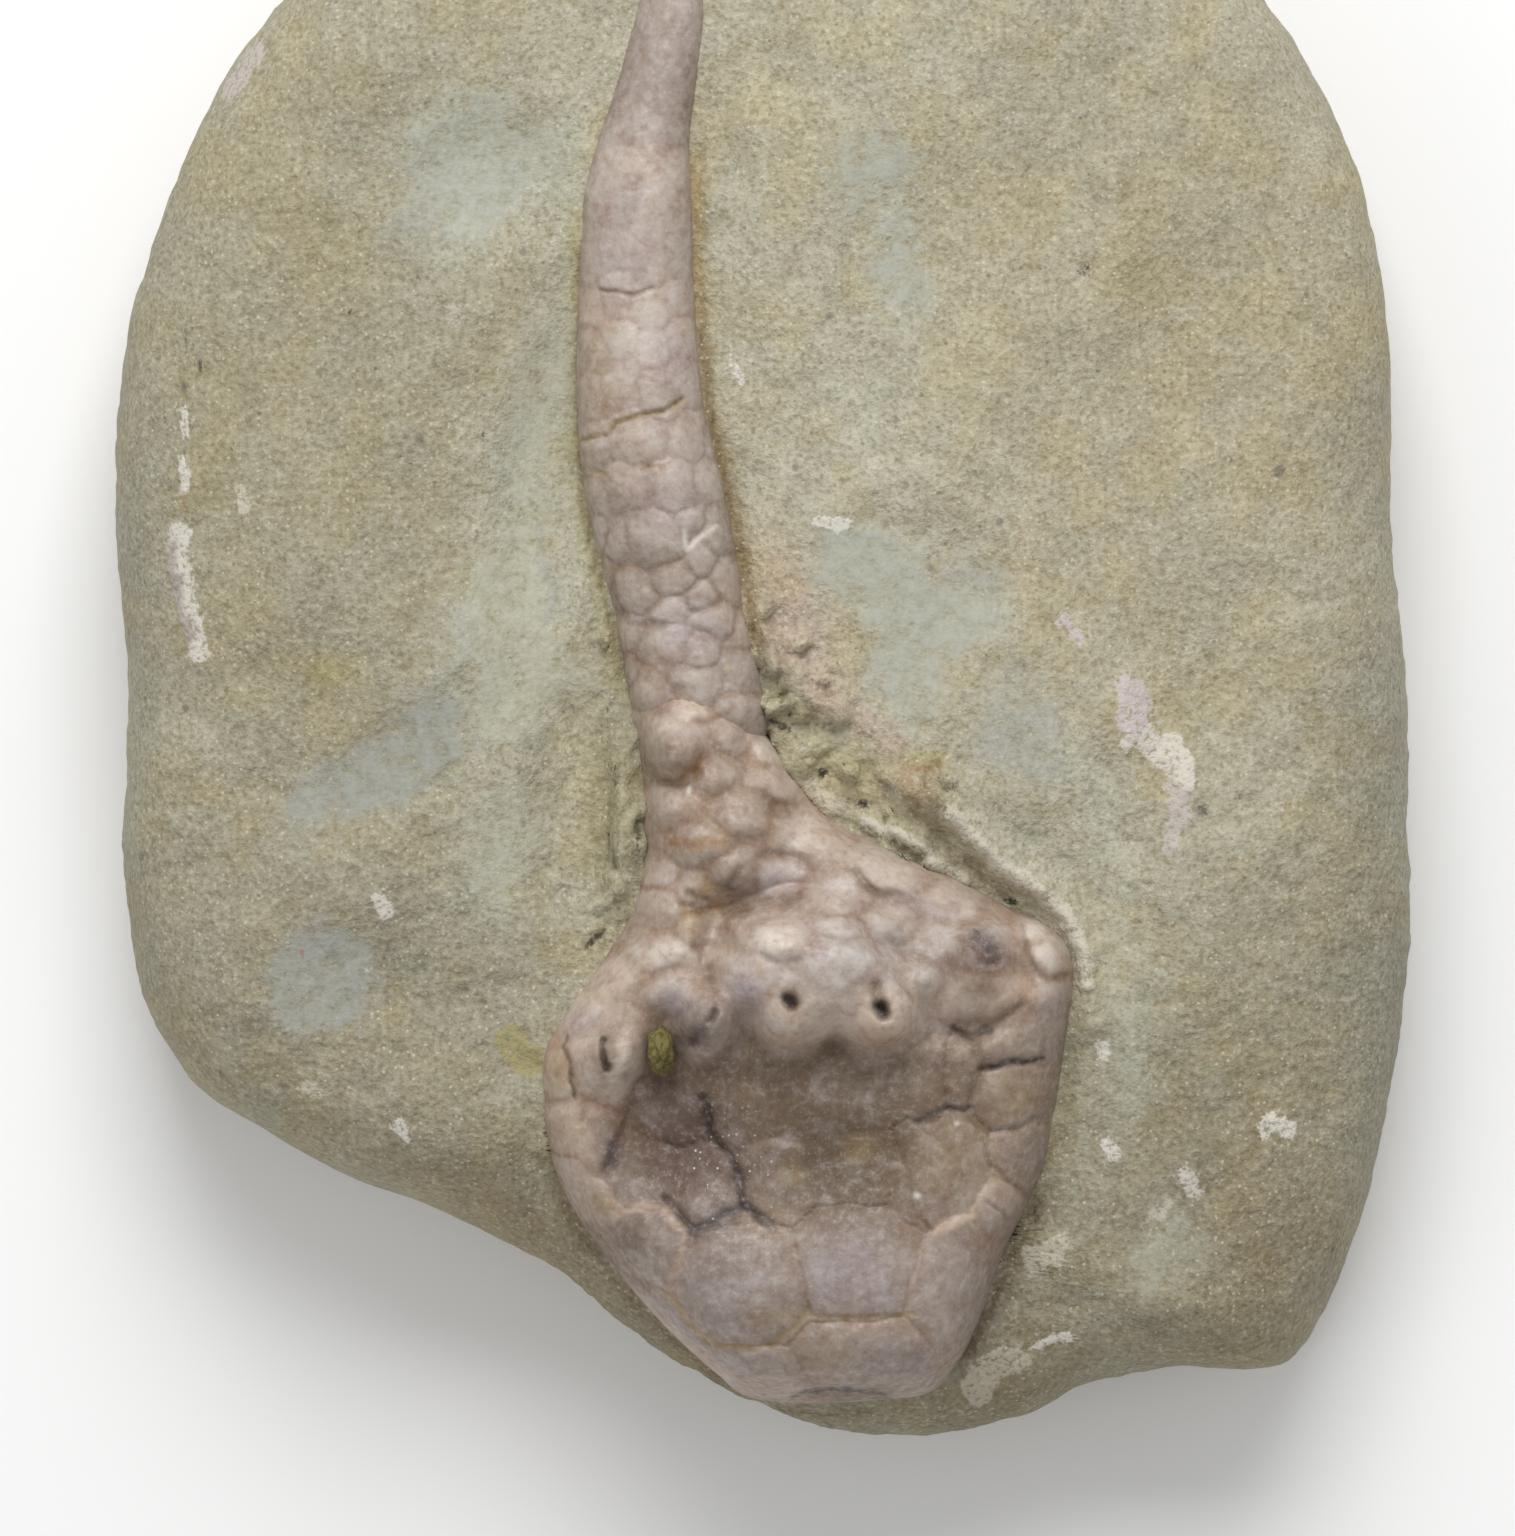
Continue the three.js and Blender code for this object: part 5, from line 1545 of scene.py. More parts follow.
@dataclass
class Calyx:
    """The calyx with its arm bases and tegmen, one closed body whose flanks go down into the stone."""

    form: FaceForm
    finish: CalciteFinish = field(
        default_factory=lambda: CalciteFinish("calyx_calcite", "calyx_calcite")
    )
    rings: int = 420
    upper_segments: int = 196
    lower_segments: int = 28
    crowding: float = 0.35
    evenness: float = 0.6
    flank_power: float = 4.0
    end_power: float = 14.0
    blend: float = 3.2
    crest: tuple[Row, ...] = (
        (1, 16.6), (8, 16.8), (12, 17.4), (15, 19), (18, 20.4), (22, 19.9), (25, 19.2), (28, 19.1),
        (31, 19.6), (34, 19.7), (37, 19.3), (40, 18),
    )  # fmt: skip
    forms: tuple[Row, ...] = (
        (2.6, -17.9, 17.6, 5.9, 4.3, 5.4, -5), (1.3, -19.9, 18.6, 2.1, 2.1, 3.9, 0),
        (5.9, -19.9, 18.6, 2.2, 2.2, 3.9, 0), (3.6, -19.4, 17.9, 3.4, 2.5, 4.1, 0),
        (-2.6, -20, 17.4, 2, 2.3, 4.4, 20),
        (-7.9, -22.1, 16.2, 2.5, 2.5, 4.7, 0), (-8.3, -19.6, 15.6, 2.4, 2.4, 4.6, 30),
        (8.2, -18.2, 17, 1.8, 2, 3.8, 0), (10.9, -17.6, 16.8, 2.5, 2.6, 4.7, 0),
        (14.2, -17.1, 15.3, 1.4, 1.7, 4, 0), (-4.6, -16, 15.8, 3, 3.8, 4.7, 0),
        (-2.2, -12, 14.6, 5, 6.5, 5.4, 0), (-3.4, -5.5, 15, 3.4, 7, 4.3, 0),
        (-4.4, -6.9, 16.9, 1.9, 1.9, 3.5, 0), (5, -14.4, 14.6, 6.6, 3.6, 5.2, -26),
        (0, -7.2, 15.4, 1.5, 2.4, 2.7, 20),
        (-9.3, -27, 14, 2, 4, 5.6, 12), (-8.5, -30.5, 13.6, 1.3, 2.4, 5, 28),
        (12.7, -23.8, 13.6, 2.7, 4.4, 5.3, 4), (12.3, -28.4, 13.6, 2, 2.4, 5.2, 0),
    )  # fmt: skip
    dents: tuple[Row, ...] = (
        (-4.4, -27, 3.1, 3.6, 1.8, 16), (-0.6, -28.6, 2.4, 2.4, 0.7, 0), (2.6, -23.3, 5, 1.1, 0.7, 0),
        (4.4, -27.3, 1.9, 1.4, 0.5, 0), (0.2, -14.7, 2.6, 0.8, 0.6, -4), (-4.9, -22.9, 1, 2, 1.6, 0),
        (-4.6, -20, 0.8, 1.2, 0.8, 0), (0.7, -9.9, 1.1, 0.45, 0.4, -5),
        (3.7, -21.5, 0.7, 1.1, 0.9, 0), (-0.7, -20.7, 0.7, 1.3, 0.8, -15), (8.4, -20.6, 0.6, 0.9, 0.6, 0),
        (10.6, -20.9, 1.9, 0.7, 0.8, 8), (-2.4, -16.6, 1.1, 1.2, 0.9, 0),
        (6.2, -16.6, 1.7, 0.6, 0.6, -40), (13.1, -18.3, 0.7, 1, 0.6, 30),
    )  # fmt: skip
    plates: Plates = field(
        default_factory=lambda: Plates([
            (-5.6, -31.8, 2, 2, 0.25, 0), (-1.2, -33.7, 3.1, 3, 0.3, 0), (4.7, -32.6, 2.9, 2.8, 0.3, 0),
            (9.6, -33.6, 2, 3.3, 0.3, -12), (5.3, -37.4, 3.4, 1.9, 0.35, 0),
            (-0.3, -38.3, 2.8, 1.7, 0.35, -14), (-4.6, -35.6, 2.3, 0.8, 0.3, -44),
            (-7.3, -33, 1.7, 0.7, 0.3, -52), (-5.6, -28.2, 2.1, 2, 0.25, 0), (-2.5, -28.7, 2, 2, 0.3, 0),
            (-4.5, -25.1, 1.8, 1.8, 0.25, 0), (-1.1, -25.3, 2.1, 1.8, 0.25, 0),
            (3.5, -24.4, 3.6, 1.8, 0.1, 0), (0.8, -28.2, 1.9, 2, 0.1, 0), (4.5, -27.7, 2.3, 1.8, 0.1, 0),
            (8.9, -27.9, 2.5, 2.6, 0.35, 0), (12.7, -24.2, 2.1, 1.7, 0.45, 0),
            (12.9, -21.6, 2.1, 1.2, 0.4, 6), (12.9, -27.3, 1.6, 1.7, 0.4, -30),
            (11.8, -29.9, 1.4, 1.5, 0.4, 0), (10, -23.3, 0.8, 1.6, 0.25, -12), (8.2, -24, 1, 1.7, 0.2, 0),
            (-10, -25.8, 1.1, 1.5, 0.3, 0), (-9.8, -28.4, 1.2, 1.6, 0.3, 18),
            (-8.2, -26.6, 1.1, 1.8, 0.3, 14), (-8.2, -29.7, 1, 1.5, 0.3, 26),
            (-10.3, -23.4, 0.8, 1.3, 0.3, 0), (-7.8, -22.3, 2, 2, 0.3, 0), (-9.3, -20, 1.3, 1.1, 0.35, 30),
            (-7.5, -18.3, 1.5, 1, 0.35, 30), (-2.8, -20.9, 1.4, 1.5, 0.3, 0),
            (1.4, -19.8, 1.9, 1.6, 0.3, 0), (5.9, -19.7, 1.9, 1.8, 0.3, 0), (3.8, -17.6, 1.9, 1.4, 0.3, 0),
            (-0.5, -18.5, 1.3, 1.2, 0.3, 0), (0.9, -16.5, 1.4, 1, 0.55, 0), (10.9, -16.9, 1.5, 1.5, 0.3, 0),
            (11, -19, 1.8, 1.1, 0.35, 0), (14.4, -17, 1, 1.1, 0.5, 0), (13.6, -15.9, 0.8, 0.8, 0.4, 0),
            (8, -18.5, 1.1, 1, 0.45, 0), (8.9, -16.6, 1.3, 1, 0.35, 0), (14.4, -19.7, 0.9, 1.3, 0.3, 0),
            (-5.1, -17.1, 2, 0.8, 0.45, 6), (-4.7, -19.1, 1.2, 1, 0.4, 0), (-5.2, -14.6, 1.3, 0.9, 0.4, 0),
            (-5.3, -13.2, 1.1, 0.8, 0.35, 0), (-3.2, -11.7, 1.4, 1, 0.4, 0), (-4.4, -7, 1.7, 1.7, 0.3, 0),
            (-3.7, -5, 1.1, 0.7, 0.3, -10), (-2.2, -8.3, 1, 0.9, 0.45, 0), (-1.3, -6.3, 1.1, 0.9, 0.4, 0),
            (0.4, -7, 1.1, 0.8, 0.4, -20), (0.7, -8.6, 1.3, 0.8, 0.35, -20), (-4.7, -9.6, 1.1, 1, 0.4, 0),
            (-0.9, -10.3, 1.3, 1, 0.35, 0), (1.9, -11.2, 1.6, 1.2, 0.35, -20),
            (-1.4, -13.2, 1.1, 1, 0.35, 0), (-3.6, -14, 0.9, 0.9, 0.35, 0), (0.8, -13.2, 1.2, 0.9, 0.35, 0),
            (3.9, -14.2, 1.5, 1.1, 0.35, -15),
            (6.3, -13.3, 1.8, 1, 0.3, -20), (9.4, -14.7, 1.6, 1, 0.3, -20),
            (6.5, -15.6, 1.3, 0.9, 0.35, -20), (3.8, -15.8, 1.2, 0.7, 0.35, 0),
            (-3.4, -16, 0.8, 0.9, 0.35, 0),
        ], plate_rise=1.1)
    )  # fmt: skip
    ledge: tuple[Row, ...] = (
        (-12, -25.2), (-8.5, -25), (-7, -24.4), (-6.2, -23.2), (-4.4, -22.4), (-3.4, -22.5), (-2.4, -22.1),
        (-1.3, -21.1), (-0.6, -20.9), (0.4, -21.7), (1.4, -22), (2.6, -21.7), (3.6, -21), (4.7, -21.7),
        (5.9, -22), (7.1, -21.5), (8, -20.6), (9.5, -20.4), (11, -20.4), (12.6, -19.6), (16.5, -19),
    )  # fmt: skip
    crisp_from: Point = (20.5, 23.5)
    skin: tuple[Noise, ...] = (Noise(0.16, 2.2, 5, 61), Noise(0.02, 0.4, 3, 63))
    wear: Noise = Noise(1.0, 0.7, 3, 67, 6.0)
    wear_cut: Point = (0.2, 0.6)
    wear_depth: float = 0.1
    wear_south: Point = (-16, -12)
    cup_edge: Point = (-0.4, 0.8)
    facet_north: Point = (14.5, 17)
    facet_west: Point = (-2, 0)
    facet_east: Point = (11, 9)
    ledge_fray: Noise = Noise(0.3, 1.0, 4, 55, 3.0)
    spread: Noise = Noise(0.25, 0.9, 4, 51)
    clouds: Noise = Noise(0.08, 3.0, 4, 53)
    plate_tones: float = 0.05
    veil: Cast = Cast(Noise(1.8, 1.3, 4, 59, 8.0), (1.14, 1.15, 1.17), 0.6)
    cup_unveiled: float = 0.5
    warmth: Cast = Cast(Noise(1.6, 1.8, 4, 57, 2.0), (1.0, 0.9, 0.76), 0.5)
    sparkle_centre: Point = (-1.8, -28)
    sparkle_half: Point = (3.4, 3.2)
    sparkle_gaps: Noise = Noise(1.0, 1.2, 3, 69)
    sparkle_cut: Point = (-0.25, 0.5)
    washes: tuple[Wash, ...] = (
        # The cup: brown stain and painted shade under the arm bases, darkest on the left, where the hollow
        # holds dark stain and painted shade, paler along its edge.
        Wash(Tone.CUP_WARM, (3, -25.6), (13.5, 6), 0.9),
        Wash(Tone.CUP_WARM, (-6.8, -31.8), (2.6, 2.6), 0.5, -40),
        # Painted shade under the overhanging arm bases.
        Wash(Tone.CUP_SHADE, (2.2, -23.9), (9, 3.5), 0.82),
        # Dark stain and painted shade in the hollow on the left.
        Wash(Tone.CUP_DARK, (-4.3, -26.9), (3.4, 3.9), 0.85, 16),
        Wash(Tone.CUP_SHADE, (4.3, -27.8), (3.9, 2.6), 0.92),
        Wash(Tone.MAUVE, (-2.4, -27.6), (1.3, 1.5), 0.55),
        Wash(Tone.MAUVE, (-4.2, -25.2), (1.1, 1.3), 0.45),
        Wash(Tone.CUP_DARK, (-6.7, -31.6), (0.9, 0.8), 0.5, 20),
        Wash(Tone.OCHRE, (9.6, -27.4), (2.4, 1.9), 0.25),
        Wash(Tone.OCHRE, (12.4, -24.4), (1.7, 1.2), 0.55),
        Wash(Tone.OCHRE, (12.6, -21.5), (1.9, 0.9), 0.2),
        Wash(Tone.OCHRE, (4.8, -26.9), (0.9, 0.8), 0.4),
        Wash(Tone.OCHRE, (1.4, -28.2), (0.8, 0.6), 0.35),
        Wash(Tone.PEACH, (-9.6, -27), (1.4, 3.6), 0.5, 10),
        Wash(Tone.OCHRE, (-8, -29.8), (0.8, 0.6), 0.5),
        # Painted shade under the left arm base.
        Wash(Tone.BROWN, (-7.7, -25), (1.5, 0.7), 0.5, -14),
        Wash(Tone.CUP_EDGE, (9.8, -33.8), (2, 4.2), 0.4, -14),
        Wash(Tone.CUP_EDGE, (0.5, -39), (7, 1.1), 0.6),
        Wash(Tone.CUP_EDGE, (12.4, -23.6), (2.4, 3.4), 0.3),
        Wash(Tone.CUP_EDGE, (3.4, -37.6), (3.4, 1.2), 0.3),
        Wash(Tone.LILAC, (4.2, -33), (2.4, 2), 0.3),
        Wash(Tone.PEACH, (11.8, -29.4), (1.3, 1.4), 0.4),
        Wash(Tone.OCHRE, (3.2, -37), (1.6, 0.9), 0.3),
        Wash(Tone.OCHRE, (0.6, -35.3), (1.4, 0.6), 0.35),
        Wash(Tone.MAUVE, (-2.8, -32.7), (1.5, 1.2), 0.35),
    )  # fmt: skip
    top_washes: tuple[Wash, ...] = (
        # The arm bases.
        Wash(Tone.PEACH, (-8.1, -22), (2.4, 2.6), 0.25),
        Wash(Tone.OCHRE, (-10.1, -23.2), (0.7, 1.1), 0.6),
        Wash(Tone.BROWN, (-5.1, -21), (1.2, 2.2), 0.4, 10),
        Wash(Tone.PURPLE, (-2.8, -20.7), (1.2, 1.6), 0.62, -30),
        Wash(Tone.LILAC, (-0.9, -19.2), (0.8, 1.5), 0.55),
        Wash(Tone.PEACH, (1.3, -21), (2.1, 1), 0.6),
        Wash(Tone.PEACH, (5.9, -21), (2.2, 1.1), 0.6),
        Wash(Tone.CREAM, (3.6, -20.3), (4.6, 1.4), 0.45),
        Wash(Tone.PEACH, (3.5, -20.6), (1.2, 0.9), 0.45),
        Wash(Tone.ORANGE, (1.3, -21.6), (1.6, 0.6), 0.25),
        Wash(Tone.ORANGE, (6, -21.6), (1.7, 0.6), 0.25),
        Wash(Tone.LILAC, (-8.9, -20.6), (1, 0.8), 0.35),
        Wash(Tone.LILAC, (7.6, -14.7), (1.5, 0.8), 0.35, -20),
        Wash(Tone.MAUVE, (-2.5, -7.9), (0.9, 0.8), 0.35),
        Wash(Tone.PEACH, (9.8, -19.3), (3, 0.9), 0.4),
        Wash(Tone.PURPLE, (11, -16.9), (1, 1.2), 0.85, 30),
        Wash(Tone.BROWN, (11.1, -18.6), (0.9, 0.5), 0.4),
        Wash(Tone.BROWN, (9.3, -17.5), (2.3, 1.9), 0.4),
        Wash(Tone.BROWN, (14.9, -17.2), (0.5, 1.6), 0.45, 10),
        # The tegmen.
        Wash(Tone.BROWN, (-2.2, -14), (2.8, 1.5), 0.42, 10),
        Wash(Tone.BROWN, (-1.8, -10.4), (3.3, 3), 0.3),
        Wash(Tone.BROWN, (-4.6, -7.2), (1.6, 1.3), 0.45),
        Wash(Tone.BROWN, (-2.3, -9.1), (1, 1), 0.35),
        Wash(Tone.BROWN, (-1.2, -6.2), (1.1, 0.6), 0.3),
        Wash(Tone.BROWN, (0.7, -10), (1.1, 0.45), 0.5, -5),
        Wash(Tone.LILAC, (0.9, -13.7), (1.4, 0.8), 0.4),
        Wash(Tone.CREAM, (5.4, -12.5), (3.6, 0.8), 0.35, -24),
        Wash(Tone.CREAM, (0.4, -7.1), (1.3, 0.6), 0.5, -35),
        Wash(Tone.CREAM, (-4.3, -5.6), (0.9, 0.5), 0.4),
        Wash(Tone.CREAM, (0.7, -16.5), (1.3, 0.85), 0.8),
        Wash(Tone.CREAM, (-4.8, -17.2), (1.9, 0.65), 0.5, 4),
        Wash(Tone.CREAM, (-8.3, -19), (1.6, 1.2), 0.3, 30),
        Wash(Tone.CREAM, (-1.7, -17.2), (0.6, 0.6), 0.45),
        Wash(Tone.LILAC, (-4.3, -19.5), (0.8, 0.9), 0.45),
        Wash(Tone.PEACH, (-7.5, -18.5), (1.2, 0.9), 0.5, 30),
        Wash(Tone.CREAM, (14.3, -17.3), (0.8, 0.85), 0.5),
        Wash(Tone.CREAM, (13.7, -16), (0.7, 0.5), 0.4),
        Wash(Tone.OCHRE, (-3.6, -15.7), (0.6, 0.9), 0.6),
    )  # fmt: skip
    marks: tuple[Mark, ...] = (
        # Tegmen.
        Mark(Tone.BROWN, 0.3, 0.5, 0.1, ((-5.9, -7.6), (-5, -8.4), (-4, -8.6), (-3.3, -8.1))),
        Mark(Tone.ORANGE, 0.3, 0.7, 0.05, ((-3.9, -8.3), (-3.5, -8), (-3.1, -7.5))),
        Mark(Tone.ORANGE, 0.42, 0.8, 0.05, ((-4.4, -11.5), (-3.6, -11.7), (-2.8, -11.6),
            (-2.1, -11.4)), ragged=0.9),
        Mark(Tone.BROWN, 0.24, 0.35, 0.05, ((0, -12.3), (0.7, -12.2), (1.5, -12.2), (2.3, -12.8))),
        Mark(Tone.OCHRE, 0.42, 0.6, 0.05, ((-2.8, -13.8),)),
        Mark(Tone.CUP_DARK, 0.34, 0.6, 0.15, ((-1.4, -13.5), (-1.6, -13.8))),
        Mark(Tone.CUP_DARK, 0.3, 0.5, 0.12, ((-1.1, -13),)),
        Mark(Tone.YELLOW, 0.24, 0.5, 0.0, ((1.3, -7.7), (1.9, -8.1))),
        Mark(Tone.BROWN, 0.34, 0.75, 0.25, ((-3.5, -14.4), (-2.6, -14.9), (-1.6, -15), (-0.6, -14.8),
            (0.6, -14.5), (1.8, -14.3)), 0.3, 1.0),
        Mark(Tone.CUP_DARK, 0.2, 0.6, 0.15, ((-4, -14.6), (-3.4, -14.7)), ragged=0.9),
        Mark(Tone.ORANGE, 0.3, 0.5, 0.05, ((-2.2, -14.8),)),
        Mark(Tone.ORANGE, 0.32, 0.5, 0.0, ((0, -17.9), (-0.3, -17.7))),
        Mark(Tone.BROWN, 0.3, 0.5, 0.15, ((-3.2, -16.8), (-2.7, -17.8), (-2.5, -18.8))),
        Mark(Tone.BROWN, 0.24, 0.6, 0.14, ((4.8, -13), (5.1, -13.8), (5.7, -14.15),
            (6.8, -14.2)), ragged=0.6),
        Mark(Tone.BROWN, 0.2, 0.35, 0.06, ((6.9, -15.7), (6.5, -16.6), (7, -17.5)), 0.4),
        Mark(Tone.CHALK, 0.1, 0.7, 0.0, ((-2.2, -6.8),), ragged=0.6),
        Mark(Tone.CHALK, 0.1, 0.7, 0.0, ((-3.6, -8.9), (-3.65, -9.1)), ragged=0.6),
        # Arm openings.
        Mark(Tone.BROWN, 0.75, 0.65, 0.15, ((-7.6, -21.2), (-7.8, -22.2), (-7.6, -22.9)), ragged=0.7),
        Mark(Tone.CRACK, 0.2, 0.88, 0.5, ((-7.9, -21.4), (-7.9, -22.2), (-7.7, -22.9)), 0.2, 0.9),
        Mark(Tone.CREAM, 0.42, 0.4, -0.1, ((-6.7, -21.6), (-6.7, -22.5), (-7.3, -23.6)), 0.4, 0.9),
        Mark(Tone.CRACK, 0.12, 0.7, 0.15, ((-9.7, -21.3), (-9.9, -21.9), (-9.6, -22.5), (-9.55, -23.6),
            (-9.3, -24.4)), 0.3),
        Mark(Tone.CRACK, 0.34, 0.75, 0.35, ((-2.3, -19.9), (-2.5, -20.3)), ragged=0.9),
        Mark(Tone.CRACK, 0.4, 0.6, 0.3, ((-3, -21.2), (-3.3, -21.5)), 0.3, 1.0),
        Mark(Tone.ORANGE, 1.1, 0.5, 0.05, ((1.4, -19.6),), ragged=0.4),
        Mark(Tone.BROWN, 0.6, 0.75, 0.25, ((1.4, -19.5),), ragged=0.4),
        Mark(Tone.CRACK, 0.3, 0.92, 0.55, ((1.25, -19.35), (1.55, -19.6)), ragged=0.5),
        Mark(Tone.ORANGE, 0.8, 0.4, 0.05, ((5.8, -19.2), (6, -20.2)), ragged=0.5),
        # Painted shadow on the upper side of the right middle arm opening.
        Mark(Tone.BROWN, 0.44, 0.8, 0.3, ((5.7, -18.9), (5.8, -19.5)), ragged=0.5),
        Mark(Tone.BLACK, 0.3, 0.97, 0.9, ((5.85, -19.8), (6, -20.1)), ragged=0.4),
        Mark(Tone.CUP_DARK, 0.5, 0.75, 0.3, ((10.5, -16.4), (11, -16.8), (11.4, -17.3)), 0.3, 0.9),
        Mark(Tone.SLATE, 0.3, 0.6, 0.1, ((11, -16.5), (11.5, -16.9)), ragged=0.9),
        Mark(Tone.CRACK, 0.2, 0.6, 0.2, ((10.7, -16.2),), ragged=0.9),
        Mark(Tone.CRACK, 0.2, 0.6, 0.2, ((11.3, -17.6),), ragged=0.9),
        Mark(Tone.BROWN, 0.16, 0.7, 0.15, ((13, -15.8), (13.2, -17), (13.6, -18), (14.3, -18.5),
            (15.2, -18.2)), 0.3),
        # Cracks and sutures of the cup.
        Mark(Tone.SLATE, 0.6, 0.45, 0.1, ((-1.2, -28.4), (-1, -29.6), (-2.2, -30.3), (-3.4, -30.7),
            (-4.1, -30.2)), 0.4, 0.9),
        Mark(Tone.CRACK, 0.22, 0.92, 0.25, ((-2.9, -24.4), (-2.75, -25.4), (-2.7, -26), (-2.2, -26.7),
            (-1.5, -27.3), (-1.1, -28.3), (-1, -29.3)), 0.25, 1.1),
        Mark(Tone.CRACK, 0.2, 0.85, 0.2, ((-4.8, -29.4), (-4.2, -30), (-3.6, -30.7)), 0.3, 1.1),
        Mark(Tone.SLATE, 0.24, 0.85, 0.15, ((-3.4, -30.9), (-2.6, -30.5), (-1.6, -30),
            (-0.9, -29.7)), 0.2, 1.0),
        Mark(Tone.CRACK, 0.22, 0.85, 0.15, ((-0.9, -29.7), (0, -30.3), (0.5, -30.8)), 0.3, 1.1),
        Mark(Tone.CRACK, 0.1, 0.6, 0.1, ((-4.8, -26.5), (-4.2, -27), (-3.5, -26.7)), 0.3, 1.0),
        Mark(Tone.CUP_DARK, 0.2, 0.6, 0.2, ((-6.2, -24.2), (-6.7, -25.3), (-7.2, -26.6),
            (-7.7, -27.7)), 0.3, 0.9),
        Mark(Tone.SLATE, 0.34, 0.55, 0.1, ((-7.3, -27), (-7.7, -27.8)), ragged=0.9),
        Mark(Tone.PEACH, 0.24, 0.6, -0.1, ((-7.3, -30.3), (-6, -29.8), (-4.9, -29.9), (-4.1, -30.9)), 0.3),
        Mark(Tone.PEACH, 0.2, 0.5, -0.06, ((-3.9, -31.4), (-4.2, -32.8), (-4.6, -33.8)), 0.3),
        Mark(Tone.BROWN, 0.12, 0.55, 0.08, ((-10.6, -27.1), (-10, -27.3), (-9.3, -27.4))),
        Mark(Tone.CUP_EDGE, 0.2, 0.5, -0.05, ((-0.6, -26.9), (0.5, -26.5), (1.8, -26.8)), 0.3),
        Mark(Tone.CRACK, 0.15, 0.9, 0.2, ((10.9, -22.85), (11.6, -22.8), (12.3, -22.5), (13.1, -22.5),
            (14, -22.4)), 0.2, 0.7),
        Mark(Tone.CRACK, 0.16, 0.75, 0.2, ((9.5, -20.8), (10, -21.2), (10.5, -21.3), (11.3, -20.9)), 0.2),
        Mark(Tone.BROWN, 0.22, 0.65, 0.15, ((11.3, -20.9), (12.3, -20.2), (13, -19.6)), 0.2),
        Mark(Tone.BROWN, 0.28, 0.6, 0.12, ((10.4, -21.4), (10.7, -22.1), (10.9, -22.8), (10.7, -23.6),
            (10.4, -24.4)), 0.2),
        Mark(Tone.BROWN, 0.14, 0.55, 0.1, ((9.4, -21.2), (9.1, -22.3), (9.1, -23.3), (9.2, -24.6)), 0.3),
        Mark(Tone.SLATE, 0.15, 0.75, 0.12, ((7.6, -25.6), (8.4, -25.2), (9.2, -24.8), (10, -25),
            (10.4, -24.8)), 0.2),
        Mark(Tone.BROWN, 0.17, 0.75, 0.14, ((10.1, -25), (10.7, -25.7), (11.4, -26.1), (12.3, -26),
            (13, -25.7), (13.6, -25.4)), 0.2),
        Mark(Tone.BROWN, 0.16, 0.65, 0.12, ((11, -26.4), (11.3, -27.6), (12, -28.2), (12.8, -28.9),
            (13.3, -29.4)), 0.2),
        Mark(Tone.BROWN, 0.08, 0.5, 0.06, ((13.8, -26.3), (13.1, -27), (12.6, -27.9))),
        Mark(Tone.BROWN, 0.12, 0.55, 0.08, ((11.2, -29.5), (11.9, -30), (12.3, -30.5))),
        Mark(Tone.BROWN, 0.14, 0.6, 0.12, ((6.7, -26.6), (7.2, -28), (7.6, -29.9), (8.4, -30.9)), 0.3),
        Mark(Tone.PEACH, 0.3, 0.75, -0.12, ((8.7, -31), (9.6, -30.6), (10.4, -30.1)), ragged=0.6),
        Mark(Tone.CHALK, 0.13, 0.8, 0.0, ((9.7, -25.6),), ragged=0.6),
        Mark(Tone.CHALK, 0.16, 0.8, 0.0, ((7.7, -29.2),), ragged=0.6),
        Mark(Tone.BROWN, 0.1, 0.5, 0.06, ((1.5, -31.1), (1.8, -32.2), (2.2, -33.9), (2.3, -35)), 0.3),
        Mark(Tone.BROWN, 0.3, 0.55, 0.15, ((-8.6, -30.8), (-7.9, -32), (-7, -33.2), (-5.8, -34)), 0.2),
        Mark(Tone.OCHRE, 0.22, 0.65, 0.15, ((-4.5, -34.2), (-3.9, -35.3), (-3.3, -36), (-2.2, -36.7),
            (-0.5, -36.9), (0.7, -36.5), (1.6, -35.7), (2.2, -35)), 0.2),
        Mark(Tone.OCHRE, 0.13, 0.6, 0.08, ((2.4, -35.2), (5, -35.3), (7.6, -35.1)), 0.3),
        Mark(Tone.PEACH, 0.5, 0.5, -0.15, ((-7.4, -33.7), (-5.8, -35.2), (-3.9, -37),
            (-1.8, -38.4)), 0.2, 0.7),
        # The stem's scar.
        Mark(Tone.BROWN, 0.42, 0.7, 0.12, ((2.4, -39.3), (4.4, -39.25), (6.2, -39.4)), 0.2, 0.6),
        Mark(Tone.CRACK, 0.14, 0.75, 0.15, ((1.5, -39.5), (2.2, -39.1), (4.3, -39), (6.2, -39.3)), 0.3),
    )  # fmt: skip

    def crest_height(self, x: Array, y: Array, crisp: Array) -> tuple[Array, Array, Array]:
        """Height of the calyx before its flanks round down, with its plates' doming and tones.

        The crest line and the rounded forms are joined by ln(Σ exp(blend·height)) / blend, which is their
        highest with soft valleys between, less a Gaussian hollow for each dent, plus the plates' relief.

        Args:
            x: Points' places along X.
            y: Points' places along Y.
            crisp: 1 where sutures are narrow cuts.

        Returns:
            Heights in mm, plate doming from 0 to 1, and a random value per plate.
        """
        base = self.form.face_height
        total = np.exp(self.blend * (along(self.crest, -y) - base))
        for cx, cy, cz, rx, ry, rz, turn in self.forms:
            reach = ellipse_reach(x, y, (cx, cy), (rx, ry), turn)
            height = cz + rz * (root_fall(reach, 2) - np.maximum(reach - 1, 0))
            total += np.exp(self.blend * (height - base))
        z = base + np.log(total) / self.blend - hollows(x, y, self.dents, 2)
        relief, doming, own = self.plates.relief(x, y, crisp)
        return z + relief, doming, own

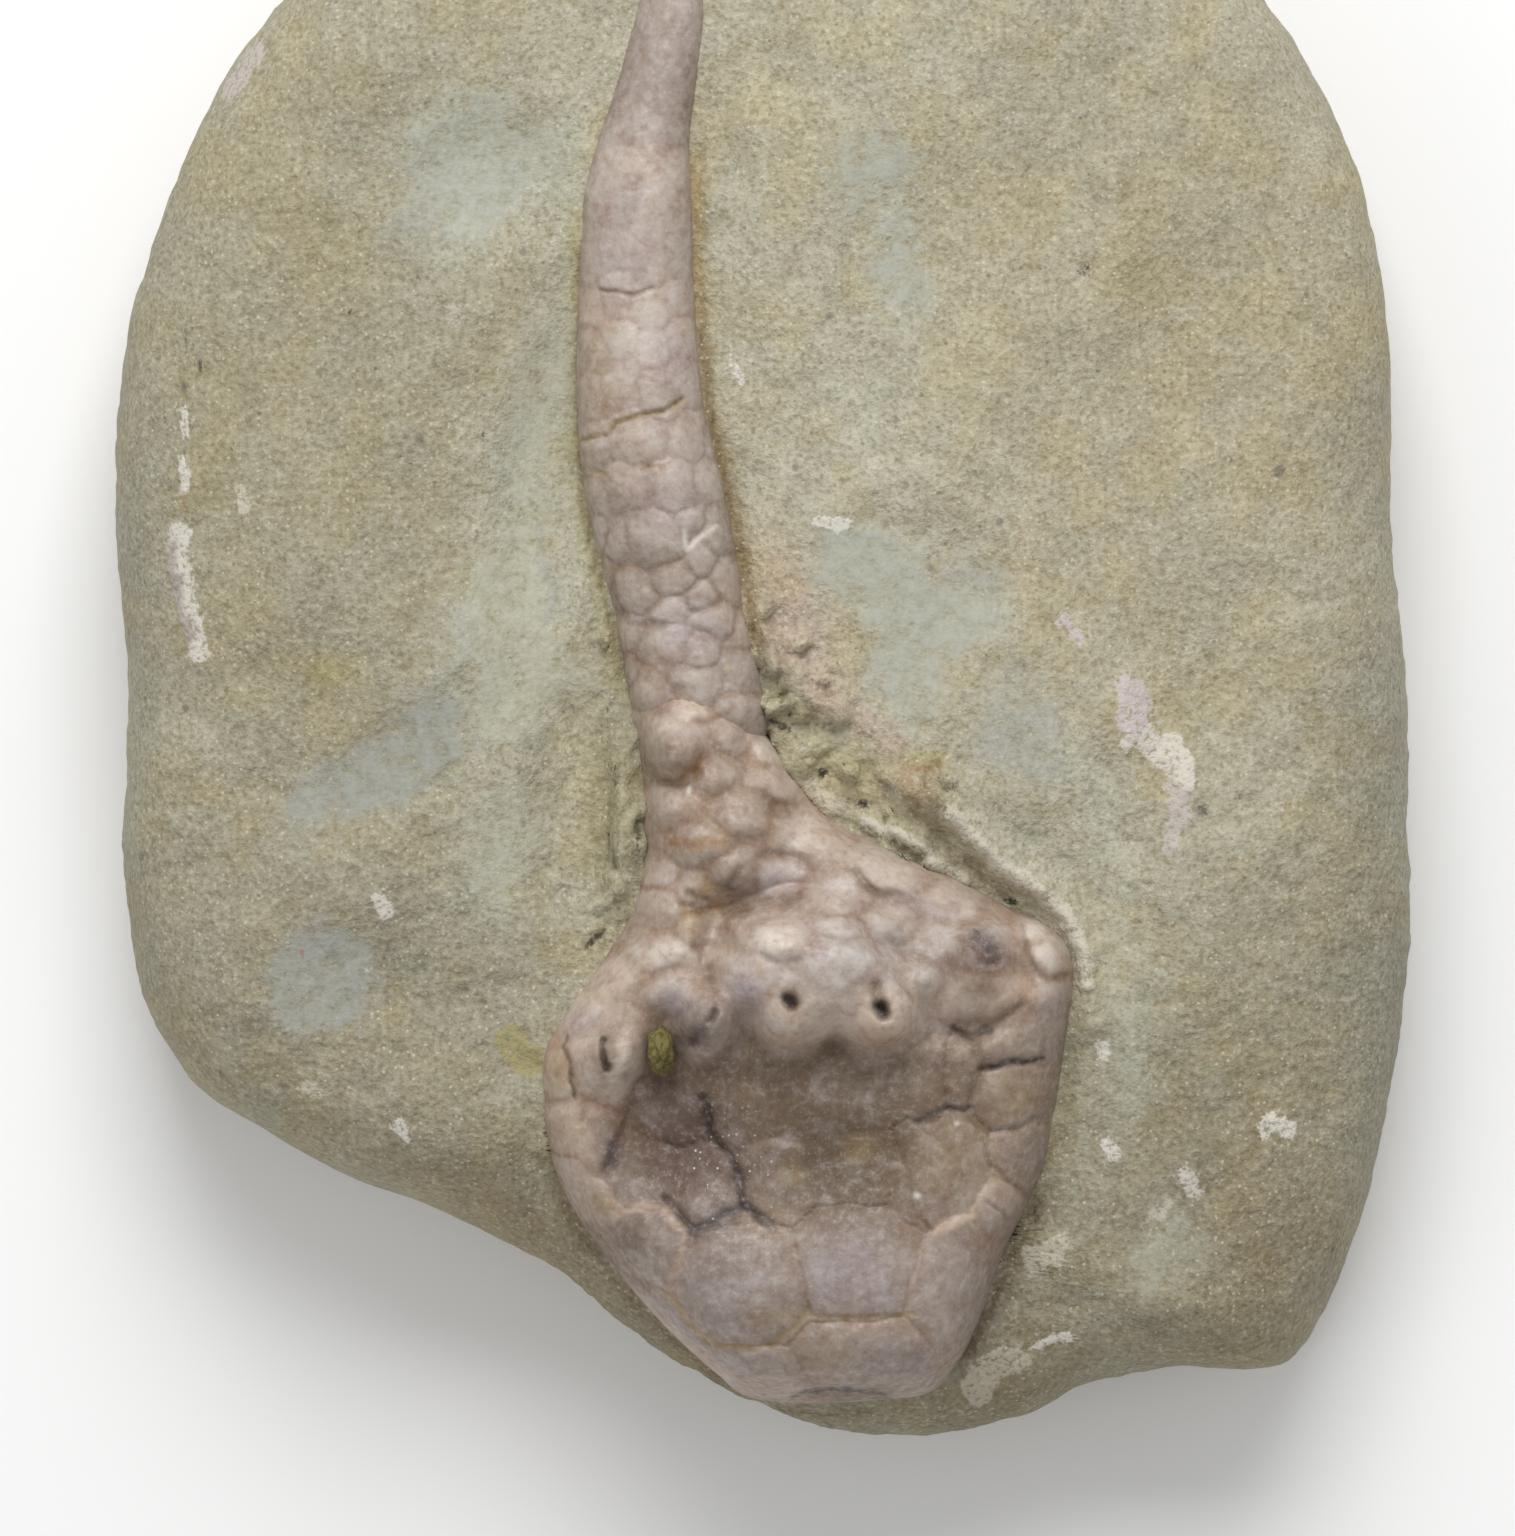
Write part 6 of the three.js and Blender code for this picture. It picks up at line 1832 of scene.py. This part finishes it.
    def tint(self, x: Array, y: Array, doming: Array, own: Array) -> Array:
        """Colours of the plates: groove to dome tones of each region, washes, and a shift per plate.

        Args:
            x: Points' places along X.
            y: Points' places along Y.
            doming: 1 on a plate's middle, 0 in a suture.
            own: A random value from -1 to 1 for each plate.

        Returns:
            One linear colour for each point.
        """
        spread = np.clip(doming + self.spread.at(x, y), 0, 1)
        cup = smooth_step(*self.cup_edge, along(self.ledge, x) + self.ledge_fray.at(x, y) - y)
        facet = smooth_step(*self.facet_west, x) * smooth_step(*self.facet_east, x)
        facet *= smooth_step(*self.facet_north, -y)
        groove = mix(linear(Tone.TEGMEN_GROOVE), linear(Tone.FACET_GROOVE), facet)
        dome = mix(linear(Tone.TEGMEN_DOME), linear(Tone.FACET_DOME), facet)
        upper = washed(x, y, mix(groove, dome, spread), self.top_washes)
        lower = washed(x, y, mix(linear(Tone.CUP_GROOVE), linear(Tone.CUP_DOME), spread), self.washes)
        tint = mix(upper, lower, cup)
        tint *= (1 + self.plate_tones * own + self.clouds.at(x, y))[:, None]
        return self.warmth.over(x, y, self.veil.over(x, y, tint, 1 - self.cup_unveiled * cup))

    def build(self) -> bpy.types.Object:
        """Builds the calyx as rings round its length, with poles at its base and under the tube.

        From its widest level, which lies under the slab's face, the height rises to the crest by the
        product of sqrt(1 - share^power) across and lengthwise, so that its flanks are steep and its ends
        steeper. Below that level one such product, with a lower power, sinks to the lowest point.

        Returns:
            The dressed object.
        """
        form = self.form
        first, last = form.calyx_ends
        even = np.arange(1, self.rings + 1) / (self.rings + 1)
        share = even + self.crowding * ((1 - np.cos(np.pi * even)) / 2 - even)
        step = np.arange(self.upper_segments) / self.upper_segments
        upper = self.evenness * (1 - 2 * step) + (1 - self.evenness) * np.cos(np.pi * step)
        lower = -np.cos(np.pi * np.arange(self.lower_segments) / self.lower_segments)
        segments = self.upper_segments + self.lower_segments
        across = np.tile(np.concatenate([upper, lower]), self.rings)
        on_top = np.tile(np.arange(segments) < self.upper_segments, self.rings)
        lengthwise = np.repeat(1 - 2 * share, segments)
        y = -(first + last + lengthwise * (last - first)) / 2
        left, right = form.calyx_sides(y)
        x = (left + right) / 2 + across * (right - left) / 2
        rim = form.calyx_rim(across, y)
        crest, doming, own = self.crest_height(x, y, smooth_step(*self.crisp_from, -y))
        tint = self.tint(x, y, doming, own)
        marked = np.zeros(x.shape)
        for mark in self.marks:
            mark.lay(x, y, tint, marked)
        skin = sum(noise.at(x, y) for noise in self.skin)
        worn = smooth_step(*self.wear_cut, self.wear.at(x, y)) * smooth_step(*self.wear_south, y)
        risen = root_fall(across, self.flank_power) * root_fall(lengthwise, self.end_power)
        over = rim + (crest + marked + skin - self.wear_depth * worn - rim) * risen
        z = np.where(on_top, over, form.calyx_under(across, lengthwise, rim))
        ends = [[float(form.calyx_sides(np.array(-south))[0]), -south] for south in (last, first)]
        base, neck = ([*end, form.calyx_rim(0, np.array(end[1]))] for end in ends)
        points = np.vstack([base, np.column_stack([x, y, z]), neck])
        sparkle = fade(ellipse_reach(x, y, self.sparkle_centre, self.sparkle_half, 0), 1, 4)
        sparkle *= smooth_step(*self.sparkle_cut, self.sparkle_gaps.at(x, y))
        layers = {
            "tint": np.vstack([tint[:1], tint, tint[-1:]]),
            "sparkle": np.concatenate([[0], sparkle, [0]]),
        }
        faces = ring_faces(self.rings, segments)
        return dress("calyx_plates", points, faces, layers, self.finish, "calyx")


@dataclass
class AnalTube:
    """The long plated tube that runs from the calyx towards the far end of the slab."""

    form: FaceForm
    finish: CalciteFinish = field(
        default_factory=lambda: CalciteFinish("tube_calcite", "tube_calcite", 0.52, 0.4)
    )
    rings: int = 560
    upper_segments: int = 124
    lower_segments: int = 30
    crowding: float = 0.25
    tip_share: float = 0.035
    foot_share: float = 0.085
    low_plates: tuple[Row, ...] = (
        (-5.6, -3.9, 1.1, 0.9, 0.3, 0), (-3.4, -3.6, 1.3, 1, 0.35, 0), (-1.1, -3.1, 1, 1.2, 0.3, 0),
        (-1.2, -4.9, 0.9, 0.8, 0.3, 0), (-6.5, -2.9, 0.6, 0.9, 0.25, 0), (-3, -2.2, 0.9, 0.7, 0.3, 0),
        (-4.9, -1.8, 1.2, 1.1, 0.35, 0), (-6.6, -1.2, 0.8, 1, 0.3, 0), (-2.4, -0.6, 1, 0.9, 0.35, 0),
        (-4.6, -0.1, 0.9, 0.8, 0.3, 0), (-1.2, -1, 0.6, 1, 0.25, 0), (-6.3, 0.9, 1, 1, 0.35, 0),
        (-4.4, 1.5, 1, 0.9, 0.3, 0), (-3.1, 0.6, 0.8, 0.8, 0.3, 0), (-1.9, 1.5, 0.8, 1.1, 0.3, 0),
        (-7.5, 1.3, 0.5, 1.2, 0.25, 0), (-5.3, 3.6, 1.3, 1.3, 0.35, 0), (-3.2, 2.4, 0.9, 0.9, 0.3, 0),
        (-2.3, 3.7, 0.8, 1.1, 0.3, 0), (-7, 3.3, 0.7, 1.1, 0.3, 0), (-3.7, 4.5, 0.7, 0.6, 0.25, 0),
        (-8.1, 3.5, 0.5, 1, 0.25, 0), (-4.4, 6.3, 1.2, 1.3, 0.35, 0), (-2.7, 6.4, 0.8, 1.1, 0.3, 0),
        (-6.6, 6.1, 1.1, 1, 0.3, 0), (-8.1, 5.8, 0.7, 1, 0.3, 0), (-6.1, 8.3, 1.3, 1.2, 0.35, 0),
        (-3.8, 8.5, 1.1, 1.3, 0.35, 0), (-8.2, 7.9, 0.9, 0.9, 0.3, 0), (-2.6, 8.4, 0.5, 1, 0.25, 0),
    )  # fmt: skip
    first_row: float = 10.8
    row_spacing: float = 2.15
    row_count: int = 13
    across: tuple[float, ...] = (-0.74, -0.26, 0.22, 0.7)
    row_half: Point = (0.3, 1.1)
    stagger: float = 0.55
    row_rise: float = 0.3
    rows_fade: Point = (12, 19)
    rows_faded: float = 0.8
    low_rise: float = 1.7
    wander: float = 0.42
    union: float = 4.5
    crispness: float = 0.25
    skin: tuple[Noise, ...] = (Noise(0.06, 1.2, 5, 61), Noise(0.025, 0.4, 3, 63))
    band_y: float = 23.1
    band_fray: Noise = Noise(0.12, 1.5, 3, 77)
    band_edge: Point = (-0.25, 0.25)
    even_tone: float = 0.75
    even_share: float = 0.6
    even_from: Point = (13, 20)
    foot_shade: float = 0.3
    foot_shade_from: Point = (9, 3)
    side_stain: float = 0.35
    side_stain_from: Point = (0.55, 0.1)
    spread: Noise = Noise(0.3, 1.0, 4, 51)
    clouds: Noise = Noise(0.09, 2.6, 4, 53)
    plate_tones: float = 0.05
    warmth: Cast = Cast(Noise(1.5, 2.0, 4, 57, 2.0), (1.0, 0.9, 0.78), 0.4)
    washes: tuple[Wash, ...] = (
        Wash(Tone.CREAM, (-6, 14.5), (1.3, 3), 0.25),
        Wash(Tone.CREAM, (-6.2, 20.5), (1.4, 2), 0.25),
        Wash(Tone.LILAC, (-5, 12.8), (1.2, 1.6), 0.35),
        Wash(Tone.LILAC, (-6.6, 18), (1.4, 2.4), 0.3),
        Wash(Tone.LILAC, (-4.4, 5.2), (1.3, 1.5), 0.3),
        Wash(Tone.LILAC, (-3.6, -1), (1.4, 1.3), 0.35),
        Wash(Tone.CUP_WARM, (-7.4, 6.4), (1.1, 2.6), 0.4),
        Wash(Tone.CUP_WARM, (-5.6, 1.8), (1.6, 1), 0.35),
        Wash(Tone.CUP_WARM, (-6, -2.6), (1.2, 1.4), 0.4),
        Wash(Tone.CUP_WARM, (-2, -3.6), (1.2, 1), 0.4),
        Wash(Tone.OCHRE, (-8, 11.6), (0.8, 3), 0.3),
    )  # fmt: skip
    marks: tuple[Mark, ...] = (
        Mark(Tone.OCHRE, 0.16, 0.75, 0.16, ((-4.2, 10.5), (-5, 9.9), (-6, 9.7), (-7.2, 9.3), (-7.6, 8.7),
            (-8.8, 8.5)), ragged=0.7),
        Mark(Tone.BROWN, 0.08, 0.6, 0.08, ((-4.2, 10.5), (-5, 9.9), (-6, 9.7), (-7.2, 9.3), (-7.6, 8.7),
            (-8.8, 8.5)), ragged=0.7),
        Mark(Tone.OCHRE, 0.14, 0.6, 0.1, ((-8.9, 7.1), (-8.2, 7), (-7.6, 6.7)), ragged=0.6),
        Mark(Tone.OCHRE, 0.13, 0.6, 0.1, ((-6, 6.9), (-5.5, 7.1), (-5, 7.1)), ragged=0.6),
        Mark(Tone.BROWN, 0.12, 0.7, 0.14, ((-7.9, 16), (-7.2, 15.9), (-6.4, 15.7),
            (-5.6, 16.05)), ragged=0.6),
        Mark(Tone.CHALK, 0.12, 0.75, 0.04, ((-4, 4), (-3.9, 3), (-3.3, 3.6), (-2.6, 4.2)), ragged=0.4),
        Mark(Tone.YELLOW, 0.16, 0.8, 0.0, ((-1.9, -2.9),), ragged=0.6),
        Mark(Tone.BROWN, 0.2, 0.35, 0.08, ((-6.8, 0), (-6.4, -0.6), (-5.6, -0.8),
            (-4.9, -0.9)), ragged=0.6),
        Mark(Tone.OCHRE, 0.2, 0.4, 0.05, ((-7.7, 2.2), (-7.2, 2), (-6.2, 2.1)), ragged=0.6),
        Mark(Tone.MAUVE, 0.5, 0.25, 0.0, ((-6.6, 19.5), (-6.2, 21))),
    )  # fmt: skip

    def plates(self) -> Plates:
        """The plates placed one by one near the foot, and the regular rows of four above them."""
        rows = [(*row[:4], self.low_rise * row[4], row[5]) for row in self.low_plates]
        for row in range(self.row_count):
            for column, side in enumerate(self.across):
                y = np.array(self.first_row + self.row_spacing * row + self.stagger * (column % 2))
                width = float(along(self.form.tube_path, y, 2))
                x = float(along(self.form.tube_path, y)) + side * width
                faded = self.rows_faded * float(smooth_step(*self.rows_fade, y))
                rise = self.row_rise * (1 - faded)
                rows.append((x, float(y), self.row_half[0] * width, self.row_half[1], rise, 0.0))
        return Plates(rows, self.wander, union=self.union)

    def tint(self, x: Array, y: Array, up: Array, doming: Array, own: Array) -> Array:
        """Colours of the tube: groove to dome tones, darker above the sharp change of colour.

        Args:
            x: Points' places along X.
            y: Points' places along Y.
            up: 1 on the tube's back, 0 at its sides.
            doming: 1 on a plate's middle, 0 in a suture.
            own: A random value from -1 to 1 for each plate.

        Returns:
            One linear colour for each point.
        """
        even = self.even_share * smooth_step(*self.even_from, y)
        spread = doming + (self.even_tone - doming) * even
        spread = np.clip(spread + self.spread.at(x, y), 0, 1)
        tip = smooth_step(*self.band_edge, y - self.band_y - self.band_fray.at(x, y))
        groove = mix(linear(Tone.TUBE_GROOVE), linear(Tone.TIP_GROOVE), tip)
        shade = self.foot_shade * smooth_step(*self.foot_shade_from, y)
        groove = mix(groove, linear(Tone.BROWN), shade)
        dome = mix(linear(Tone.TUBE_DOME), linear(Tone.TIP_DOME), tip)
        stain = self.side_stain * smooth_step(*self.side_stain_from, up)
        tint = mix(mix(groove, dome, spread), linear(Tone.OCHRE), stain)
        tint = washed(x, y, tint, self.washes)
        tint *= (1 + self.plate_tones * own + self.clouds.at(x, y))[:, None]
        return self.warmth.over(x, y, tint)

    def build(self) -> bpy.types.Object:
        """Builds the tube as rings round its own line, with poles at its foot and its tip.

        A ring's radius is the path's half width plus, on its back, the plates' relief, the marks and the
        skin. Towards both ends it shrinks by the quarter circle sqrt(1 - (1 - t)²), so they close in a
        round cap. The line lies a set depth under the slab's face.

        Returns:
            The dressed object.
        """
        form = self.form
        upper = np.linspace(0, np.pi, self.upper_segments, endpoint=False)
        lower = np.linspace(np.pi, 2 * np.pi, self.lower_segments, endpoint=False)
        turn = np.concatenate([upper, lower])
        segments = len(turn)
        even = np.arange(1, self.rings + 1) / (self.rings + 1)
        share = self.crowding * (1 - np.cos(np.pi * even)) / 2 + (1 - self.crowding) * even
        ring_y = form.tube_foot + (form.tube_tip - form.tube_foot) * share
        to_end = np.minimum(share / self.foot_share, (1 - share) / self.tip_share)
        cap = np.sqrt(1 - (1 - np.minimum(to_end, 1)) ** 2)
        centre, radius = along(form.tube_path, ring_y), along(form.tube_path, ring_y, 2)
        axis = form.rounded(centre, ring_y)[0] - form.tube_axis_below_face
        each = (ring_y, centre, radius, axis, cap)
        y, middle, reach, level, closing = (np.repeat(values, segments) for values in each)
        angle = np.tile(turn, self.rings)
        up = np.maximum(np.sin(angle), 0)
        flat_x = middle + reach * np.cos(angle)
        relief, doming, own = self.plates().relief(flat_x, y, np.full(y.shape, self.crispness))
        tint = self.tint(flat_x, y, up, doming, own)
        marked = np.zeros(y.shape)
        for mark in self.marks:
            mark.lay(flat_x, y, tint, marked)
        skin = sum(noise.at(flat_x, y) for noise in self.skin)
        grown = closing * (reach + up * (relief + marked + skin))
        body = np.column_stack([middle + grown * np.cos(angle), y, level + grown * np.sin(angle)])
        foot = [along(form.tube_path, np.array(form.tube_foot)), form.tube_foot, axis[0]]
        tip = [along(form.tube_path, np.array(form.tube_tip)), form.tube_tip, axis[-1]]
        points = np.vstack([foot, body, tip])
        layers = {"tint": np.vstack([tint[:1], tint, tint[-1:]]), "sparkle": np.zeros(len(points))}
        faces = ring_faces(self.rings, segments)
        return dress("tube_plates", points, faces, layers, self.finish, "anal_tube")


@dataclass
class SedimentPlug:
    """The lump of sediment between the left and the second arm base."""

    centre: Triple = (-5.05, -22.05, 19.3)
    radii: Triple = (0.8, 1.45, 1.5)
    turn: float = 4.0
    finish: SedimentFinish = field(default_factory=SedimentFinish)
    segments: int = 96
    rings: int = 62
    crumble: float = 0.26
    lumps: Noise = Noise(1.0, 0.8, 4, 81)
    lump_radius: float = 1.4
    press: Point = (0.5, 0.9)
    yellow_share: float = 0.35

    def build(self) -> bpy.types.Object:
        """Builds the lump as an ellipsoid whose points noise presses inwards by up to the crumble."""
        turn = 2 * np.pi * np.arange(self.segments) / self.segments
        tilt = np.pi * np.arange(1, self.rings + 1) / (self.rings + 1)
        around, down = np.tile(turn, self.rings), np.repeat(tilt, self.segments)
        ball = [np.sin(down) * np.cos(around), np.sin(down) * np.sin(around), np.cos(down)]
        unit = np.vstack([[0, 0, 1], np.column_stack(ball), [0, 0, -1]])
        lumps = self.lumps.at(*(unit * self.lump_radius).T)
        shrink = 1 - self.crumble * (self.press[0] + self.press[1] * lumps)
        across, upward, high = (unit * shrink[:, None] * np.asarray(self.radii)).T
        angle = math.radians(self.turn)
        x = across * math.cos(angle) - upward * math.sin(angle)
        y = across * math.sin(angle) + upward * math.cos(angle)
        points = np.column_stack([x, y, high]) + np.asarray(self.centre)
        share = self.yellow_share * np.clip(0.5 + lumps, 0, 1)
        layers = {"tint": mix(linear(Tone.MOSS), linear(Tone.YELLOW), share)}
        faces = ring_faces(self.rings, self.segments)
        return dress("sediment_lump", points, faces, layers, self.finish, "sediment_plug")


@dataclass
class Studio:
    """The plain floor, the soft light from the far side of the slab, and the camera straight above it."""

    view_centre: Point = (-0.225, -7.9)
    view_height: float = 76.8
    face_height: float = 16.9
    distance: float = 600.0
    sensor: float = 36.0
    clip: Point = (0.05, 10.0)
    floor_half: float = 2500.0
    floor_drop: float = 0.05
    finish: FloorFinish = field(default_factory=FloorFinish)
    key_place: Triple = (10.0, 420.0, 430.0)
    key_size: float = 380.0
    key_power: float = 2.9
    fill_place: Triple = (-380.0, -260.0, 420.0)
    fill_size: float = 420.0
    fill_power: float = 0.4
    aim: Triple = (0.0, -10.0, 12.0)
    sky: float = 0.46

    def floor(self) -> bpy.types.Object:
        """A large flat floor a hair under the slab."""
        half, z = self.floor_half, -self.floor_drop
        corners = np.array([[-half, -half, z], [half, -half, z], [half, half, z], [-half, half, z]])
        plane = add_mesh("floor", corners, np.array([[0, 1, 2, 3]]), np.zeros((0, 3), int))
        plane.data.materials.append(self.finish.material())
        return plane

    def lamp(self, name: str, at: Triple, size: float, power: float) -> None:
        """A square area light, in mm and watts, aimed at the middle of the slab."""
        light = bpy.data.lights.new(name, "AREA")
        light.size = size * MM
        light.energy = power
        holder = bpy.data.objects.new(name, light)
        bpy.context.scene.collection.objects.link(holder)
        holder.location = Vector(at) * MM
        aim = Vector(self.aim) * MM - holder.location
        holder.rotation_euler = aim.to_track_quat("-Z", "Y").to_euler()

    def light(self) -> None:
        """An even pale sky, the key light from beyond the tube's tip, and a weak fill."""
        world = bpy.data.worlds.new("studio")
        world.use_nodes = True
        backdrop = world.node_tree.nodes["Background"]
        backdrop.inputs["Color"].default_value = (1.0, 1.0, 1.0, 1.0)
        backdrop.inputs["Strength"].default_value = self.sky
        bpy.context.scene.world = world
        self.lamp("key", self.key_place, self.key_size, self.key_power)
        self.lamp("fill", self.fill_place, self.fill_size, self.fill_power)

    def camera(self) -> None:
        """A long lens straight above the slab, the tube's tip towards the top of the picture."""
        data = bpy.data.cameras.new("camera")
        data.sensor_width = self.sensor
        data.lens = self.sensor * self.distance / self.view_height
        data.clip_start, data.clip_end = self.clip
        holder = bpy.data.objects.new("camera", data)
        bpy.context.scene.collection.objects.link(holder)
        holder.location = Vector((*self.view_centre, self.face_height + self.distance)) * MM
        bpy.context.scene.camera = holder

    def build(self) -> None:
        """Sets up floor, light, camera and the plain view transform."""
        self.floor()
        self.light()
        self.camera()
        bpy.context.scene.view_settings.view_transform = "Standard"


def main() -> None:
    """Builds the slab, the calyx, the tube, the sediment and the studio, in that order."""
    logging.basicConfig(level=logging.INFO, format="%(message)s")
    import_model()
    form = FaceForm()
    for part in (Slab(form), Calyx(form), AnalTube(form), SedimentPlug()):
        piece = part.build()
        log.info("%s: %d vertices", piece.name, len(piece.data.vertices))
    Studio().build()


if __name__ == "__main__":
    main()
